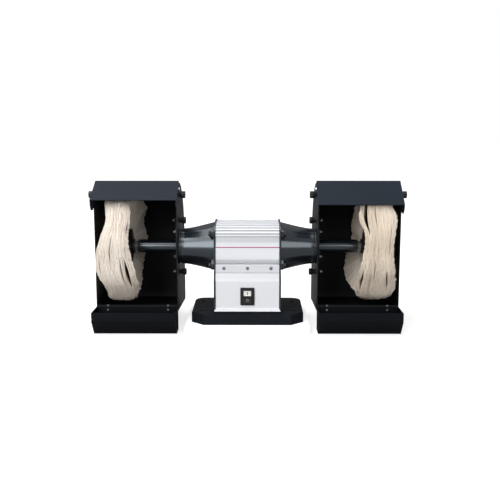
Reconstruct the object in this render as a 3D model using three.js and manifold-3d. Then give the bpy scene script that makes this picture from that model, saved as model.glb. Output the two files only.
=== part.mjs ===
// Double-ended polishing machine with two hooded cotton buffs.
// Millimetres. X runs along the spindle to the right, Y to the back, Z up.
// The origin is the middle of the underside of the base, where the machine is bolted down.
// Heights of pieces round the spindle are measured from the spindle's axis.

import * as THREE from 'three';
import { mergeVertices } from 'three/addons/utils/BufferGeometryUtils.js';
import Module from 'manifold-3d';

const wasm = await Module();
wasm.setup();

// Sizes shared by the whole machine
const axisHeight = 196;
const seatGap = 0.3;
const runningGap = 1;
const overrun = 5;
const sheet = 2;

const base = {
  width: 300,
  depth: 206,
  height: 28,
  frontChamfer: 34,
  rearRadius: 28,
  edgeRound: 4,
  wall: 9,
  top: 8,
  plinthHeight: 6,
  plinthLedge: 1,
  boltXShare: 0.833,
  boltYShare: 0.534,
  boltHole: 11,
  boss: 30,
  plate: 2,
  plateLedge: 4,
  wireSlotWidth: 60,
  wireSlotDepth: 24,
};

const motor = {
  length: 169.4,
  bore: 122,
  wall: 14,
  corner: 35,
  bolt: 8,
  boltInset: 15,
  boltClear: 12.8,
  finPitch: 9.2,
  grooveWidth: 3.4,
  grooveDepth: 4.5,
  panelTopGap: 2,
  panelFootShare: 0.347,
  panelProud: 0.8,
  beadPitch: 5,
  beadWidth: 1.6,
  beadDepth: 1.2,
};

const endPlate = {
  thickness: 4.5,
  proud: 3,
  shoulderDrop: 58,
  skirtDrop: 81,
  skirtProud: 2.5,
  registerDepth: 6,
  registerWall: 4,
  centreHole: 64,
};

const cover = {
  flangeTop: 39,
  flangeFoot: 60,
  bulge: 11.2,
  bulgeHeight: 21,
  flare: 2,
  flareHeight: 9,
};

const control = {
  footClear: 7.8,
  bezelWidth: 37.5,
  bezelHeight: 47.8,
  bezelThickness: 3,
  bodyWidth: 33,
  bodyHeight: 42,
  corner: 2.5,
  pocketDepth: 15,
  startWidth: 19.3,
  startHeight: 13.8,
  startRise: 8.6,
  startProud: 0.8,
  stopWidth: 23,
  stopHeight: 16,
  stopDrop: 9.5,
  stopProud: 3,
  buttonDepth: 10,
};

const gland = {
  x: 50,
  footClear: 10.1,
  bore: 9,
  thread: 20,
  nut: 25,
  nutHeight: 6,
  domeLength: 12,
  domeEnd: 15,
  lockNutHeight: 5,
};

const spindle = {
  coreSeat: 32,
  bearingSeat: 30,
  inTube: 28,
  end: 25,
  shoulderShare: 0.556,
  endReach: 9,
  chamfer: 1.5,
};

const bearing = {
  outer: 62,
  width: 16,
  raceWall: 5,
  shieldDepth: 0.8,
};

const cone = {
  length: 96.9,
  boltClear: 7.8,
  noseRadius: 48.5,
  tangentShare: 0.722,
  blendStartShare: 0.31,
  blendEndShare: 0.857,
  wall: 8,
  noseWall: 9.6,
  rimWidth: 4.5,
  grooveWidth: 1.6,
  grooveDepth: 2,
  lugThickness: 7,
  lugRadius: 11.5,
};

const tube = {
  radius: 18.35,
  bareShaft: 10,
};

const stator = {
  half: 45,
  yoke: 11,
  slotDepth: 14,
  slots: 12,
  slotAngleShare: 0.5,
  coilSetBack: 3,
  coilReach: 16,
};

const rotorCore = {
  half: 45,
  ringHub: 3,
  ringSetBack: 3,
  ringReach: 8,
  blades: 6,
  bladeReach: 8,
  bladeThickness: 3,
};

const hood = {
  width: 220,
  front: 62,
  rearClear: 18,
  topClear: 24,
  radiusClear: 22,
  floorRearClear: 36,
  floorFrontClear: 18,
  wrapperSetBack: 4,
  foldRadius: 10,
  lip: 17,
  noseCorner: 8,
};

const bracket = {
  thickness: 4,
  width: 84,
  collarRadius: 37,
  knobRise: 71,
  slotClear: 0.7,
  slotReach: 19,
  travel: 5,
  nutAcross: 14,
  nutHeight: 6,
  endReach: 13,
};

const clampKnob = {
  headRadius: 9.3,
  head: 10,
  neckRadius: 6.5,
  neck: 8.4,
  studRadius: 3.8,
  studReach: 18,
  tipLength: 1.5,
  ridges: 12,
  ridgeDepth: 0.8,
};

const visor = {
  pivotAhead: 22,
  pivotClear: 8,
  plateOffset: 17,
  rearReach: 15,
  frontReach: 82,
  flangeDepth: 25,
  tipReach: 66,
  tipRadius: 4,
  noseBulge: 5,
  slotRadius: 15,
  slotClear: 0.4,
  slotEndClear: 1,
  highestTilt: 12,
  lowestTilt: 37,
};

const pivot = {
  headRadius: 5,
  head: 3.5,
  pinRadius: 3,
  nutRadius: 5,
  nut: 4,
};

const visorKnob = {
  headRadius: 9.6,
  head: 13.4,
  neckRadius: 6.2,
  neck: 3.6,
  studRadius: 2.5,
  studReach: 8,
  tipLength: 1,
  ridges: 14,
  ridgeDepth: 0.8,
};

// Heights from the front edge of the hood's floor, reaches from the hood's front
const tray = {
  rearTop: 16,
  frontTop: 14,
  bendDrop: 11,
  floorDrop: 50,
  floorReach: 48,
  reach: 80,
};

const clampFlange = {
  radius: 47.5,
  hubRadius: 20,
  hub: 7,
  plate: 5,
  rim: 7.5,
  dish: 1.5,
};

const spindleNut = {
  acrossFlats: 36,
  height: 14,
};

const buff = {
  radius: 150,
  sectionHub: 13.7,
  spreadPower: 1.25,
  crackSpread: 2.5,
  crackWave: 3,
  crackWaves: 4,
  ripple: 2.4,
  ripples: 9,
  rimRound: 5,
  ringShares: [0.45, 1],
  rimShares: [0.2, 0.5, 0.8],
  steps: 30,
};

const tieBolt = {
  acrossFlats: 13,
  head: 5.3,
  washerRadius: 8,
  washer: 1.6,
};

// Facet counts
const facets = { pin: 10, small: 12, medium: 18, large: 20, wide: 28 };

// Materials
const finish = {
  casting: new THREE.MeshStandardMaterial({ color: 0x171b22, roughness: 0.45, metalness: 0.3 }),
  gloss: new THREE.MeshStandardMaterial({ color: 0x10141c, roughness: 0.18, metalness: 0.3 }),
  sheet: new THREE.MeshStandardMaterial({ color: 0x1d2026, roughness: 0.5, metalness: 0.3 }),
  visor: new THREE.MeshStandardMaterial({ color: 0x343e48, roughness: 0.45, metalness: 0.3 }),
  silver: new THREE.MeshStandardMaterial({ color: 0xd9dbdf, roughness: 0.4, metalness: 0.4 }),
  steel: new THREE.MeshStandardMaterial({ color: 0xb8babd, roughness: 0.3, metalness: 1 }),
  dark: new THREE.MeshStandardMaterial({ color: 0x14161a, roughness: 0.55, metalness: 0.1 }),
  white: new THREE.MeshStandardMaterial({ color: 0xe8e8e4, roughness: 0.4, metalness: 0 }),
  copper: new THREE.MeshStandardMaterial({ color: 0xa8623a, roughness: 0.4, metalness: 0.8 }),
  cotton: new THREE.MeshStandardMaterial({ color: 0xe9dfce, roughness: 0.95, metalness: 0 }),
};
for (const material of Object.values(finish)) material.flatShading = true;

// Solids

function signedVolume(vertices, triangles) {
  const [a, b, c] = [new THREE.Vector3(), new THREE.Vector3(), new THREE.Vector3()];
  let volume = 0;
  for (let i = 0; i < triangles.length; i += 3) {
    a.fromArray(vertices, 3 * triangles[i]);
    b.fromArray(vertices, 3 * triangles[i + 1]);
    c.fromArray(vertices, 3 * triangles[i + 2]);
    volume += a.dot(b.cross(c)) / 6;
  }
  return volume;
}

// A closed manifold from any closed geometry, with its faces turned outwards
function solid(geometry) {
  const bare = geometry.clone();
  bare.deleteAttribute('normal');
  bare.deleteAttribute('uv');
  const merged = mergeVertices(bare);
  const vertices = merged.getAttribute('position').array;
  const index = merged.index.array;
  const triangles = [];
  for (let i = 0; i < index.length; i += 3) {
    const [a, b, c] = [index[i], index[i + 1], index[i + 2]];
    if (a !== b && b !== c && c !== a) triangles.push(a, b, c);
  }
  const outward = signedVolume(vertices, triangles) > 0 ? triangles : triangles.reverse();
  return new wasm.Manifold(new wasm.Mesh({
    numProp: 3,
    vertProperties: new Float32Array(vertices),
    triVerts: new Uint32Array(outward),
  }));
}

function joined(...pieces) {
  return pieces.reduce((whole, piece) => whole.add(piece));
}

function cut(body, ...tools) {
  return tools.reduce((rest, tool) => rest.subtract(tool), body);
}

function toGeometry(body) {
  const mesh = body.getMesh();
  const geometry = new THREE.BufferGeometry();
  geometry.setAttribute('position', new THREE.BufferAttribute(new Float32Array(mesh.vertProperties), 3));
  geometry.setIndex(new THREE.BufferAttribute(new Uint32Array(mesh.triVerts), 1));
  return geometry;
}

function moved(body, matrix) {
  return solid(toGeometry(body).applyMatrix4(matrix));
}

// The same piece on the other side of the YZ plane
function mirrored(geometry) {
  const copy = geometry.clone();
  copy.scale(-1, 1, 1);
  const index = copy.index.array;
  for (let i = 0; i < index.length; i += 3) {
    [index[i + 1], index[i + 2]] = [index[i + 2], index[i + 1]];
  }
  return copy;
}

// Outlines

const radians = THREE.MathUtils.degToRad;
const point = (x, y) => new THREE.Vector2(x, y);

function arc(x, y, radius, from, to, steps) {
  const points = [];
  for (let i = 0; i <= steps; i++) {
    const angle = radians(from + (to - from) * i / steps);
    points.push(point(x + radius * Math.cos(angle), y + radius * Math.sin(angle)));
  }
  return points;
}

function circle(x, y, radius, steps) {
  return arc(x, y, radius, 0, 360, steps).slice(0, -1);
}

// The corner radius of a polygon whose flats lie on the radius, so that a round fits inside it
function clearOf(radius, steps) {
  return radius / Math.cos(Math.PI / steps);
}

function bore(x, y, radius, steps) {
  return circle(x, y, clearOf(radius, steps), steps);
}

function rectangle(x0, y0, x1, y1) {
  return [point(x0, y0), point(x1, y0), point(x1, y1), point(x0, y1)];
}

function roundedRectangle(x, y, width, height, radius, steps = 3) {
  const [dx, dy] = [width / 2 - radius, height / 2 - radius];
  return [
    ...arc(x + dx, y + dy, radius, 0, 90, steps),
    ...arc(x - dx, y + dy, radius, 90, 180, steps),
    ...arc(x - dx, y - dy, radius, 180, 270, steps),
    ...arc(x + dx, y - dy, radius, 270, 360, steps),
  ];
}

// A slot between two centres, one above the other
function uprightSlot(x, low, high, radius, steps) {
  return [...arc(x, high, radius, 0, 180, steps), ...arc(x, low, radius, 180, 360, steps)];
}

function shapeOf(outer, holes = []) {
  const shape = new THREE.Shape(outer);
  shape.holes = holes.map((hole) => new THREE.Path(hole));
  return shape;
}

// Both faces of a folded sheet, from the path of its outer face; the metal lies to the path's right
function foldedSheet(path, thickness) {
  const inner = path.map((corner, i) => {
    const before = path[Math.max(i - 1, 0)];
    const after = path[Math.min(i + 1, path.length - 1)];
    const arrive = i > 0 ? corner.clone().sub(before).normalize() : after.clone().sub(corner).normalize();
    const leave = i < path.length - 1 ? after.clone().sub(corner).normalize() : arrive;
    const normal = point(arrive.y + leave.y, -arrive.x - leave.x).normalize();
    const reach = thickness / (normal.x * leave.y - normal.y * leave.x);
    return corner.clone().addScaledVector(normal, reach);
  });
  return [...path, ...inner.reverse()];
}

// Shapes drawn in one plane and given thickness along the third axis

function extruded(shape, length) {
  return new THREE.ExtrudeGeometry(shape, { depth: length, bevelEnabled: false, curveSegments: 1 });
}

// Drawn in (Y, Z), from x0 to x1
function alongX(outer, x0, x1, holes = []) {
  const geometry = extruded(shapeOf(outer, holes), x1 - x0);
  const turn = new THREE.Matrix4().makeBasis(
    new THREE.Vector3(0, 1, 0), new THREE.Vector3(0, 0, 1), new THREE.Vector3(1, 0, 0));
  geometry.applyMatrix4(turn);
  geometry.translate(x0, 0, 0);
  return solid(geometry);
}

// Drawn in (X, Z), from y0 back to y1
function alongY(outer, y0, y1, holes = []) {
  const geometry = extruded(shapeOf(outer, holes), y1 - y0);
  geometry.rotateX(Math.PI / 2);
  geometry.translate(0, y1, 0);
  return solid(geometry);
}

// Drawn in (X, Y), from z0 up to z1
function alongZ(outer, z0, z1, holes = []) {
  const geometry = extruded(shapeOf(outer, holes), z1 - z0);
  geometry.translate(0, 0, z0);
  return solid(geometry);
}

// Turned about the X axis from a profile of [x, radius] pairs
function turned(profile, steps) {
  const geometry = new THREE.LatheGeometry(profile.map(([x, radius]) => point(radius, x)), steps);
  geometry.rotateZ(-Math.PI / 2);
  return solid(geometry);
}

// The same, for a profile that closes on itself round a bore
function turnedRing(profile, steps) {
  return turned([...profile, profile[0]], steps);
}

function hexagon(x, y, acrossFlats) {
  return bore(x, y, acrossFlats / 2, 6);
}

// Ridged outline of a knob
function ridged(radius, depth, ridges) {
  const points = [];
  for (let i = 0; i < 2 * ridges; i++) {
    const angle = Math.PI * i / ridges;
    const reach = i % 2 ? radius : radius - depth;
    points.push(point(reach * Math.cos(angle), reach * Math.sin(angle)));
  }
  return points;
}

// The scene

const machine = new THREE.Group();
const spindleLine = new THREE.Group();
spindleLine.position.z = axisHeight;
machine.add(spindleLine);

function addPiece(group, name, geometry, material) {
  const mesh = new THREE.Mesh(geometry, material);
  mesh.name = name;
  group.add(mesh);
  return mesh;
}

// Places shared by several pieces

const plinthTop = base.height + base.plinthHeight;
const housingHalf = motor.bore / 2 + motor.wall;
const boltCircle = motor.bore / 2 + motor.boltClear;
const plateFace = motor.length / 2;
const plateBack = plateFace + endPlate.thickness;
const coneStart = plateBack + seatGap;
const coneEnd = coneStart + cone.length;
const hoodInner = coneEnd + seatGap;
const hoodOuter = hoodInner + hood.width;
const coverFlange = housingHalf + seatGap + sheet;
const coverFace = coverFlange + cover.bulge;
const skirtHalf = coverFace + endPlate.skirtProud;

// Base

function baseOutline(inset) {
  const x = base.width / 2 - inset;
  const y = base.depth / 2 - inset;
  const chamfer = base.frontChamfer - inset * (2 - Math.SQRT2);
  const radius = base.rearRadius - inset;
  return [
    point(-x, -y + chamfer),
    point(-x + chamfer, -y),
    point(x - chamfer, -y),
    point(x, -y + chamfer),
    ...arc(x - radius, y - radius, radius, 0, 90, 5),
    ...arc(-x + radius, y - radius, radius, 90, 180, 5),
  ];
}

function baseBoltPlaces() {
  const boltX = base.boltXShare * base.width / 2;
  const boltY = base.boltYShare * base.depth / 2;
  return [[-1, -1], [1, -1], [1, 1], [-1, 1]].map(([x, y]) => [x * boltX, y * boltY]);
}

function baseCasting() {
  const roundSteps = 3;
  let body = alongZ(baseOutline(0), 0, base.height - base.edgeRound);
  for (let i = 0; i < roundSteps; i++) {
    const [low, high] = [i, i + 1].map((step) => radians(90 * step / roundSteps));
    const inset = base.edgeRound * (1 - Math.cos((low + high) / 2));
    const rim = base.height - base.edgeRound;
    const z1 = rim + base.edgeRound * Math.sin(high);
    body = body.add(alongZ(baseOutline(inset), rim - base.edgeRound, z1));
  }
  const plinthX = plateBack + base.plinthLedge;
  const plinthY = skirtHalf + base.plinthLedge;
  const plinth = rectangle(-plinthX, -plinthY, plinthX, plinthY);
  const ceiling = base.height - base.top;
  const cavity = alongZ(baseOutline(base.wall), -overrun, ceiling);
  const bosses = baseBoltPlaces().map(([x, y]) => (
    alongZ(circle(x, y, base.boss / 2, facets.pin), base.plate + seatGap, ceiling + overrun)));
  const boltHoles = baseBoltPlaces().map(([x, y]) => (
    alongZ(bore(x, y, base.boltHole / 2, facets.pin), -overrun, base.height + overrun)));
  const plateSeat = alongZ(baseOutline(base.wall - base.plateLedge), -overrun, base.plate + seatGap);
  const wireSlot = alongZ(
    roundedRectangle(0, 0, base.wireSlotWidth, base.wireSlotDepth, base.wireSlotDepth / 2 - seatGap),
    -overrun, plinthTop + overrun);
  body = body.add(alongZ(plinth, base.height - base.edgeRound, plinthTop));
  return cut(joined(cut(body, cavity), ...bosses), plateSeat, wireSlot, ...boltHoles);
}

function baseBottomPlate() {
  const holes = baseBoltPlaces().map(([x, y]) => bore(x, y, base.boltHole / 2, facets.pin));
  return alongZ(baseOutline(base.wall - base.plateLedge + seatGap), 0, base.plate, holes);
}

addPiece(machine, 'base_casting', toGeometry(baseCasting()), finish.casting);
addPiece(machine, 'base_bottom_plate', toGeometry(baseBottomPlate()), finish.sheet);

// Motor housing, an extruded profile with cooling grooves along the spindle

function groove(x, y, angle) {
  const normal = point(Math.cos(angle), Math.sin(angle));
  const along = point(-normal.y, normal.x);
  const half = motor.grooveWidth / 2;
  const lip = point(x, y);
  return [
    lip.clone().addScaledVector(along, -half),
    lip.clone().addScaledVector(along, -half).addScaledVector(normal, -motor.grooveDepth),
    lip.clone().addScaledVector(along, half).addScaledVector(normal, -motor.grooveDepth),
    lip.clone().addScaledVector(along, half),
  ];
}

function groovedCorner(side) {
  const centre = housingHalf - motor.corner;
  const count = Math.floor(motor.corner * Math.PI / 2 / motor.finPitch);
  const points = [];
  for (let i = 0; i < count; i++) {
    const sweep = Math.PI / 2 * (i + 0.5) / count;
    const angle = side > 0 ? sweep : Math.PI / 2 + sweep;
    const x = side * centre + motor.corner * Math.cos(angle);
    const y = centre + motor.corner * Math.sin(angle);
    points.push(...groove(x, y, angle));
  }
  return points;
}

function groovedTop() {
  const half = housingHalf - motor.corner;
  const count = Math.floor(2 * half / motor.finPitch);
  const points = [];
  for (let i = 0; i < count; i++) {
    const y = half - 2 * half * (i + 0.5) / count;
    points.push(...groove(y, housingHalf, Math.PI / 2));
  }
  return points;
}

// One side of the housing below the fins: a raised panel for a label, then two fine beads
function sidePanel(side) {
  const face = side * housingHalf;
  const proud = side * (housingHalf + motor.panelProud);
  const top = housingHalf - motor.corner - motor.panelTopGap;
  const foot = -motor.panelFootShare * housingHalf;
  const points = [
    point(face, top),
    point(proud, top - motor.panelProud),
    point(proud, foot + motor.panelProud),
    point(face, foot),
  ];
  for (let i = 1; i <= 2; i++) {
    const z = foot - i * motor.beadPitch;
    points.push(
      point(face, z + motor.beadWidth / 2),
      point(face - side * motor.beadDepth, z + motor.beadWidth / 2),
      point(face - side * motor.beadDepth, z - motor.beadWidth / 2),
      point(face, z - motor.beadWidth / 2),
    );
  }
  return points;
}

function housingOutline() {
  const footCorner = motor.corner / 3;
  const inset = housingHalf - footCorner;
  return [
    ...sidePanel(1).reverse(),
    ...groovedCorner(1),
    ...groovedTop(),
    ...groovedCorner(-1),
    ...sidePanel(-1),
    ...arc(-inset, -inset, footCorner, 180, 270, 4),
    ...arc(inset, -inset, footCorner, 270, 360, 4),
  ];
}

function tieBoltPlaces() {
  const boltY = housingHalf - motor.boltInset;
  const boltZ = Math.sqrt(boltCircle ** 2 - boltY ** 2);
  return [[-1, 1], [1, 1], [1, -1], [-1, -1]].map(([y, z]) => [y * boltY, z * boltZ]);
}

function motorHousing() {
  const holes = [bore(0, 0, motor.bore / 2, facets.wide)];
  for (const [y, z] of tieBoltPlaces()) {
    holes.push(bore(y, z, motor.bolt / 2 + seatGap, facets.pin));
  }
  const half = plateFace - seatGap;
  return alongX(housingOutline(), -half, half, holes);
}

addPiece(spindleLine, 'motor_housing', toGeometry(motorHousing()), finish.silver);

// End plates

function endPlateOutline() {
  const half = housingHalf + endPlate.proud;
  const corner = motor.corner + endPlate.proud;
  const foot = plinthTop + seatGap - axisHeight;
  return [
    ...arc(half - corner, half - corner, corner, 0, 90, 6),
    ...arc(corner - half, half - corner, corner, 90, 180, 6),
    point(-half, -endPlate.shoulderDrop),
    point(-skirtHalf, -endPlate.skirtDrop),
    point(-skirtHalf, foot),
    point(skirtHalf, foot),
    point(skirtHalf, -endPlate.skirtDrop),
    point(half, -endPlate.shoulderDrop),
  ];
}

function endPlateSolid() {
  const holes = [bore(0, 0, endPlate.centreHole / 2, facets.large)];
  for (const [y, z] of tieBoltPlaces()) {
    holes.push(bore(y, z, motor.bolt / 2 + seatGap, facets.pin));
  }
  const plate = alongX(endPlateOutline(), plateFace, plateBack, holes);
  const outer = motor.bore / 2 - seatGap;
  const register = turnedRing([
    [plateFace - endPlate.registerDepth, outer - endPlate.registerWall],
    [plateFace - endPlate.registerDepth, outer],
    [plateFace + endPlate.thickness / 2, outer],
    [plateFace + endPlate.thickness / 2, outer - endPlate.registerWall],
  ], facets.large);
  return plate.add(register);
}

// Front and rear covers under the housing, and the switch

function coverPath() {
  const top = axisHeight - cover.flangeTop;
  const bend = axisHeight - cover.flangeFoot;
  const foot = plinthTop + 2 * seatGap;
  const bulge = [];
  const steps = 6;
  for (let i = 0; i <= steps; i++) {
    const angle = Math.PI / 2 * i / steps;
    const y = -coverFlange - cover.bulge * Math.sin(angle);
    bulge.push(point(y, bend - cover.bulgeHeight * (1 - Math.cos(angle))));
  }
  return [
    point(-coverFlange, top),
    ...bulge,
    point(-coverFace, foot + cover.flareHeight),
    point(-coverFace - cover.flare, foot),
  ];
}

function coverSheet() {
  const half = plateFace - seatGap;
  return alongX(foldedSheet(coverPath().reverse(), sheet), -half, half);
}

// The switch and the cable gland stand on the flat face of a cover, above its flared foot
const flatFoot = plinthTop + cover.flareHeight;
const controlHeight = flatFoot + control.footClear + control.bezelHeight / 2;
const glandHeight = flatFoot + gland.footClear + gland.nut / 2;

function frontCover() {
  const hole = roundedRectangle(0, controlHeight, control.bodyWidth + 2 * seatGap,
    control.bodyHeight + 2 * seatGap, control.corner);
  return coverSheet().subtract(alongY(hole, -coverFace - overrun, -housingHalf + overrun));
}

function rearCover() {
  const hole = bore(gland.x, glandHeight, gland.thread / 2 + seatGap, facets.small);
  const sheetBehind = moved(coverSheet(), new THREE.Matrix4().makeRotationZ(Math.PI));
  return sheetBehind.subtract(alongY(hole, coverFace - sheet - overrun, coverFace + overrun));
}

const startPlace = {
  z: controlHeight + control.startRise,
  width: control.startWidth,
  height: control.startHeight,
};
const stopPlace = {
  z: controlHeight - control.stopDrop,
  width: control.stopWidth,
  height: control.stopHeight,
};
const bezelBack = -coverFace - seatGap;
const bezelFront = bezelBack - control.bezelThickness;

function switchHousing() {
  const bezel = roundedRectangle(0, controlHeight, control.bezelWidth, control.bezelHeight, control.corner);
  const body = roundedRectangle(0, controlHeight, control.bodyWidth, control.bodyHeight, control.corner);
  const pockets = [startPlace, stopPlace].map(({ z, width, height }) => {
    const mouth = rectangle(-width / 2 - seatGap, z - height / 2 - seatGap,
      width / 2 + seatGap, z + height / 2 + seatGap);
    return alongY(mouth, bezelFront - overrun, bezelFront + control.pocketDepth);
  });
  const block = joined(
    alongY(bezel, bezelFront, bezelBack),
    alongY(body, bezelFront + control.bezelThickness / 2, -housingHalf - seatGap));
  return cut(block, ...pockets);
}

function pushButton({ z, width, height }, proud) {
  const front = bezelFront - proud;
  const round = roundedRectangle(0, z, width, height, control.corner / 2);
  return alongY(round, front, front + control.buttonDepth);
}

function cableGland() {
  const wallBack = coverFace - sheet;
  const threadRadius = gland.thread / 2;
  const boreRadius = gland.bore / 2;
  const outside = coverFace + seatGap;
  const body = turnedRing([
    [wallBack - gland.lockNutHeight, boreRadius],
    [wallBack - gland.lockNutHeight, threadRadius],
    [outside + gland.nutHeight, threadRadius],
    [outside + gland.nutHeight + gland.domeLength, gland.domeEnd / 2],
    [outside + gland.nutHeight + gland.domeLength, boreRadius],
  ], facets.small);
  const nutHole = circle(0, 0, boreRadius + seatGap, facets.small);
  const nut = (x0, x1) => alongX(hexagon(0, 0, gland.nut), x0, x1, [nutHole]);
  const inside = wallBack - seatGap;
  const fitting = joined(
    body,
    nut(outside, outside + gland.nutHeight),
    nut(inside - gland.lockNutHeight, inside));
  const toRear = new THREE.Matrix4().makeRotationZ(Math.PI / 2);
  toRear.setPosition(gland.x, 0, glandHeight);
  return moved(fitting, toRear);
}

addPiece(machine, 'front_cover', toGeometry(frontCover()), finish.silver);
addPiece(machine, 'rear_cover', toGeometry(rearCover()), finish.silver);
addPiece(machine, 'switch_housing', toGeometry(switchHousing()), finish.dark);
addPiece(machine, 'start_button', toGeometry(pushButton(startPlace, control.startProud)), finish.white);
addPiece(machine, 'stop_button', toGeometry(pushButton(stopPlace, control.stopProud)), finish.dark);
addPiece(machine, 'cable_gland', toGeometry(cableGland()), finish.dark);

// Stator, with its coils lying in its slots

const slotRadius = motor.bore / 2 - stator.yoke;
const statorInner = slotRadius - stator.slotDepth;

function slotAngles() {
  return Array.from({ length: stator.slots }, (_, i) => 2 * Math.PI * i / stator.slots);
}

function statorCore() {
  const outline = [];
  const half = Math.PI / stator.slots * stator.slotAngleShare;
  for (const angle of slotAngles()) {
    for (const [radius, turn] of [
      [statorInner, -half], [slotRadius, -half],
      [slotRadius, half], [statorInner, half],
    ]) {
      outline.push(point(radius * Math.cos(angle + turn), radius * Math.sin(angle + turn)));
    }
  }
  const outer = circle(0, 0, motor.bore / 2 - seatGap, facets.wide);
  return alongX(outer, -stator.half, stator.half, [outline]);
}

function statorWindings() {
  const half = Math.PI / stator.slots * stator.slotAngleShare;
  const end = stator.half + seatGap;
  const inner = statorInner + stator.coilSetBack;
  const outer = slotRadius * Math.cos(half) - 2 * seatGap;
  const narrow = inner * Math.tan(half) - 2 * seatGap;
  const wide = outer * Math.tan(half) - 2 * seatGap;
  const bars = slotAngles().map((angle) => {
    const along = point(Math.cos(angle), Math.sin(angle));
    const across = point(-along.y, along.x);
    const corner = (radius, width) => (
      along.clone().multiplyScalar(radius).addScaledVector(across, width));
    return alongX([
      corner(inner, -narrow), corner(outer, -wide),
      corner(outer, wide), corner(inner, narrow),
    ], -end - seatGap, end + seatGap);
  });
  const shoulder = stator.coilReach / 4;
  const ring = (side) => turnedRing([
    [side * end, inner - seatGap],
    [side * end, outer],
    [side * (end + stator.coilReach - shoulder), outer],
    [side * (end + stator.coilReach), outer - shoulder],
    [side * (end + stator.coilReach), inner - seatGap],
  ], facets.small);
  return joined(ring(-1), ring(1), ...bars);
}

addPiece(spindleLine, 'stator_core', toGeometry(statorCore()), finish.steel);
addPiece(spindleLine, 'stator_windings', toGeometry(statorWindings()), finish.copper);

// Cones with their bolt lugs

const coneWide = boltCircle - cone.boltClear;
const noseFloor = coneEnd - cone.noseWall;
const bearingStart = noseFloor - bearing.width - seatGap;

function coneOuterProfile() {
  const slopeEnd = coneStart + cone.blendStartShare * cone.length;
  const tangentEnd = coneStart + cone.tangentShare * cone.length;
  const slope = (coneWide - cone.noseRadius) / (tangentEnd - coneStart);
  const flare = [coneStart, slopeEnd].map((x) => [x, coneWide - slope * (x - coneStart)]);
  const blend = new THREE.QuadraticBezierCurve(
    point(...flare[1]),
    point(tangentEnd, cone.noseRadius),
    point(coneStart + cone.blendEndShare * cone.length, cone.noseRadius));
  const curve = blend.getPoints(4).slice(1).map(({ x, y }) => [x, y]);
  const rimStart = coneEnd - cone.rimWidth;
  const grooveStart = rimStart - cone.grooveWidth;
  const rim = [
    [grooveStart, cone.noseRadius],
    [grooveStart, cone.noseRadius - cone.grooveDepth],
    [rimStart, cone.noseRadius - cone.grooveDepth],
    [rimStart, cone.noseRadius],
    [coneEnd, cone.noseRadius],
  ];
  return [...flare, ...curve, ...rim];
}

function coneSolid() {
  const seatRadius = clearOf(bearing.outer / 2 + seatGap, facets.wide);
  const tubeRadius = clearOf(tube.radius + seatGap, facets.wide);
  const shell = turnedRing([
    ...coneOuterProfile(),
    [coneEnd, tubeRadius],
    [noseFloor, tubeRadius],
    [noseFloor, seatRadius],
    [bearingStart - seatGap, seatRadius],
    [bearingStart - seatGap, cone.noseRadius - cone.wall],
    [coneStart, coneWide - cone.wall],
  ], facets.wide);
  const lugs = tieBoltPlaces().map(([y, z]) => {
    const angle = THREE.MathUtils.radToDeg(Math.atan2(z, y));
    const across = point(0, cone.lugRadius).rotateAround(point(0, 0), Math.atan2(z, y));
    const root = point(y, z).setLength(coneWide - cone.wall / 2);
    const outline = [
      root.clone().sub(across),
      ...arc(y, z, cone.lugRadius, angle - 90, angle + 90, 6),
      root.clone().add(across),
    ];
    return alongX(outline, coneStart, coneStart + cone.lugThickness);
  });
  const holes = tieBoltPlaces().map(([y, z]) => (
    alongX(bore(y, z, motor.bolt / 2 + seatGap, facets.pin), coneStart - overrun,
      coneStart + cone.lugThickness + overrun)));
  return cut(joined(shell, ...lugs), ...holes);
}

function bearingSolid() {
  const inner = clearOf(spindle.bearingSeat / 2 + seatGap, facets.small);
  const outer = bearing.outer / 2;
  const end = bearingStart + bearing.width;
  return turnedRing([
    [bearingStart, inner],
    [bearingStart, inner + bearing.raceWall],
    [bearingStart + bearing.shieldDepth, inner + bearing.raceWall],
    [bearingStart + bearing.shieldDepth, outer - bearing.raceWall],
    [bearingStart, outer - bearing.raceWall],
    [bearingStart, outer],
    [end, outer],
    [end, inner],
  ], facets.small);
}

function shaftTube() {
  const inner = clearOf(spindle.inTube / 2 + runningGap, facets.large);
  const start = noseFloor + seatGap;
  const end = flangeShoulder - tube.bareShaft;
  return turnedRing([[start, inner], [start, tube.radius], [end, tube.radius], [end, inner]], facets.large);
}

function tieBoltSolid(y, z) {
  const seat = coneStart + cone.lugThickness + seatGap;
  const washerEnd = seat + tieBolt.washer;
  const headEnd = washerEnd + tieBolt.head;
  const rod = alongX(circle(y, z, motor.bolt / 2, facets.pin), -washerEnd, washerEnd);
  const ends = [-1, 1].flatMap((side) => {
    const span = (a, b) => (side > 0 ? [a, b] : [-b, -a]);
    return [
      alongX(circle(y, z, tieBolt.washerRadius, facets.small), ...span(seat, washerEnd)),
      alongX(hexagon(y, z, tieBolt.acrossFlats), ...span(washerEnd - tieBolt.washer / 2, headEnd)),
    ];
  });
  return joined(rod, ...ends);
}

// Spindle and rotor, and the places of what is clamped on the spindle's ends

const flangeShoulder = hoodInner + spindle.shoulderShare * hood.width;
const flangeContact = flangeShoulder + seatGap + clampFlange.hub + clampFlange.plate;
const buffStart = flangeContact + seatGap;
const buffEnd = buffStart + 2 * buff.sectionHub + seatGap;
const outerContact = buffEnd + seatGap;
const nutStart = outerContact + clampFlange.plate + clampFlange.hub + seatGap;
const spindleEnd = nutStart + spindleNut.height + spindle.endReach;

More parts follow.
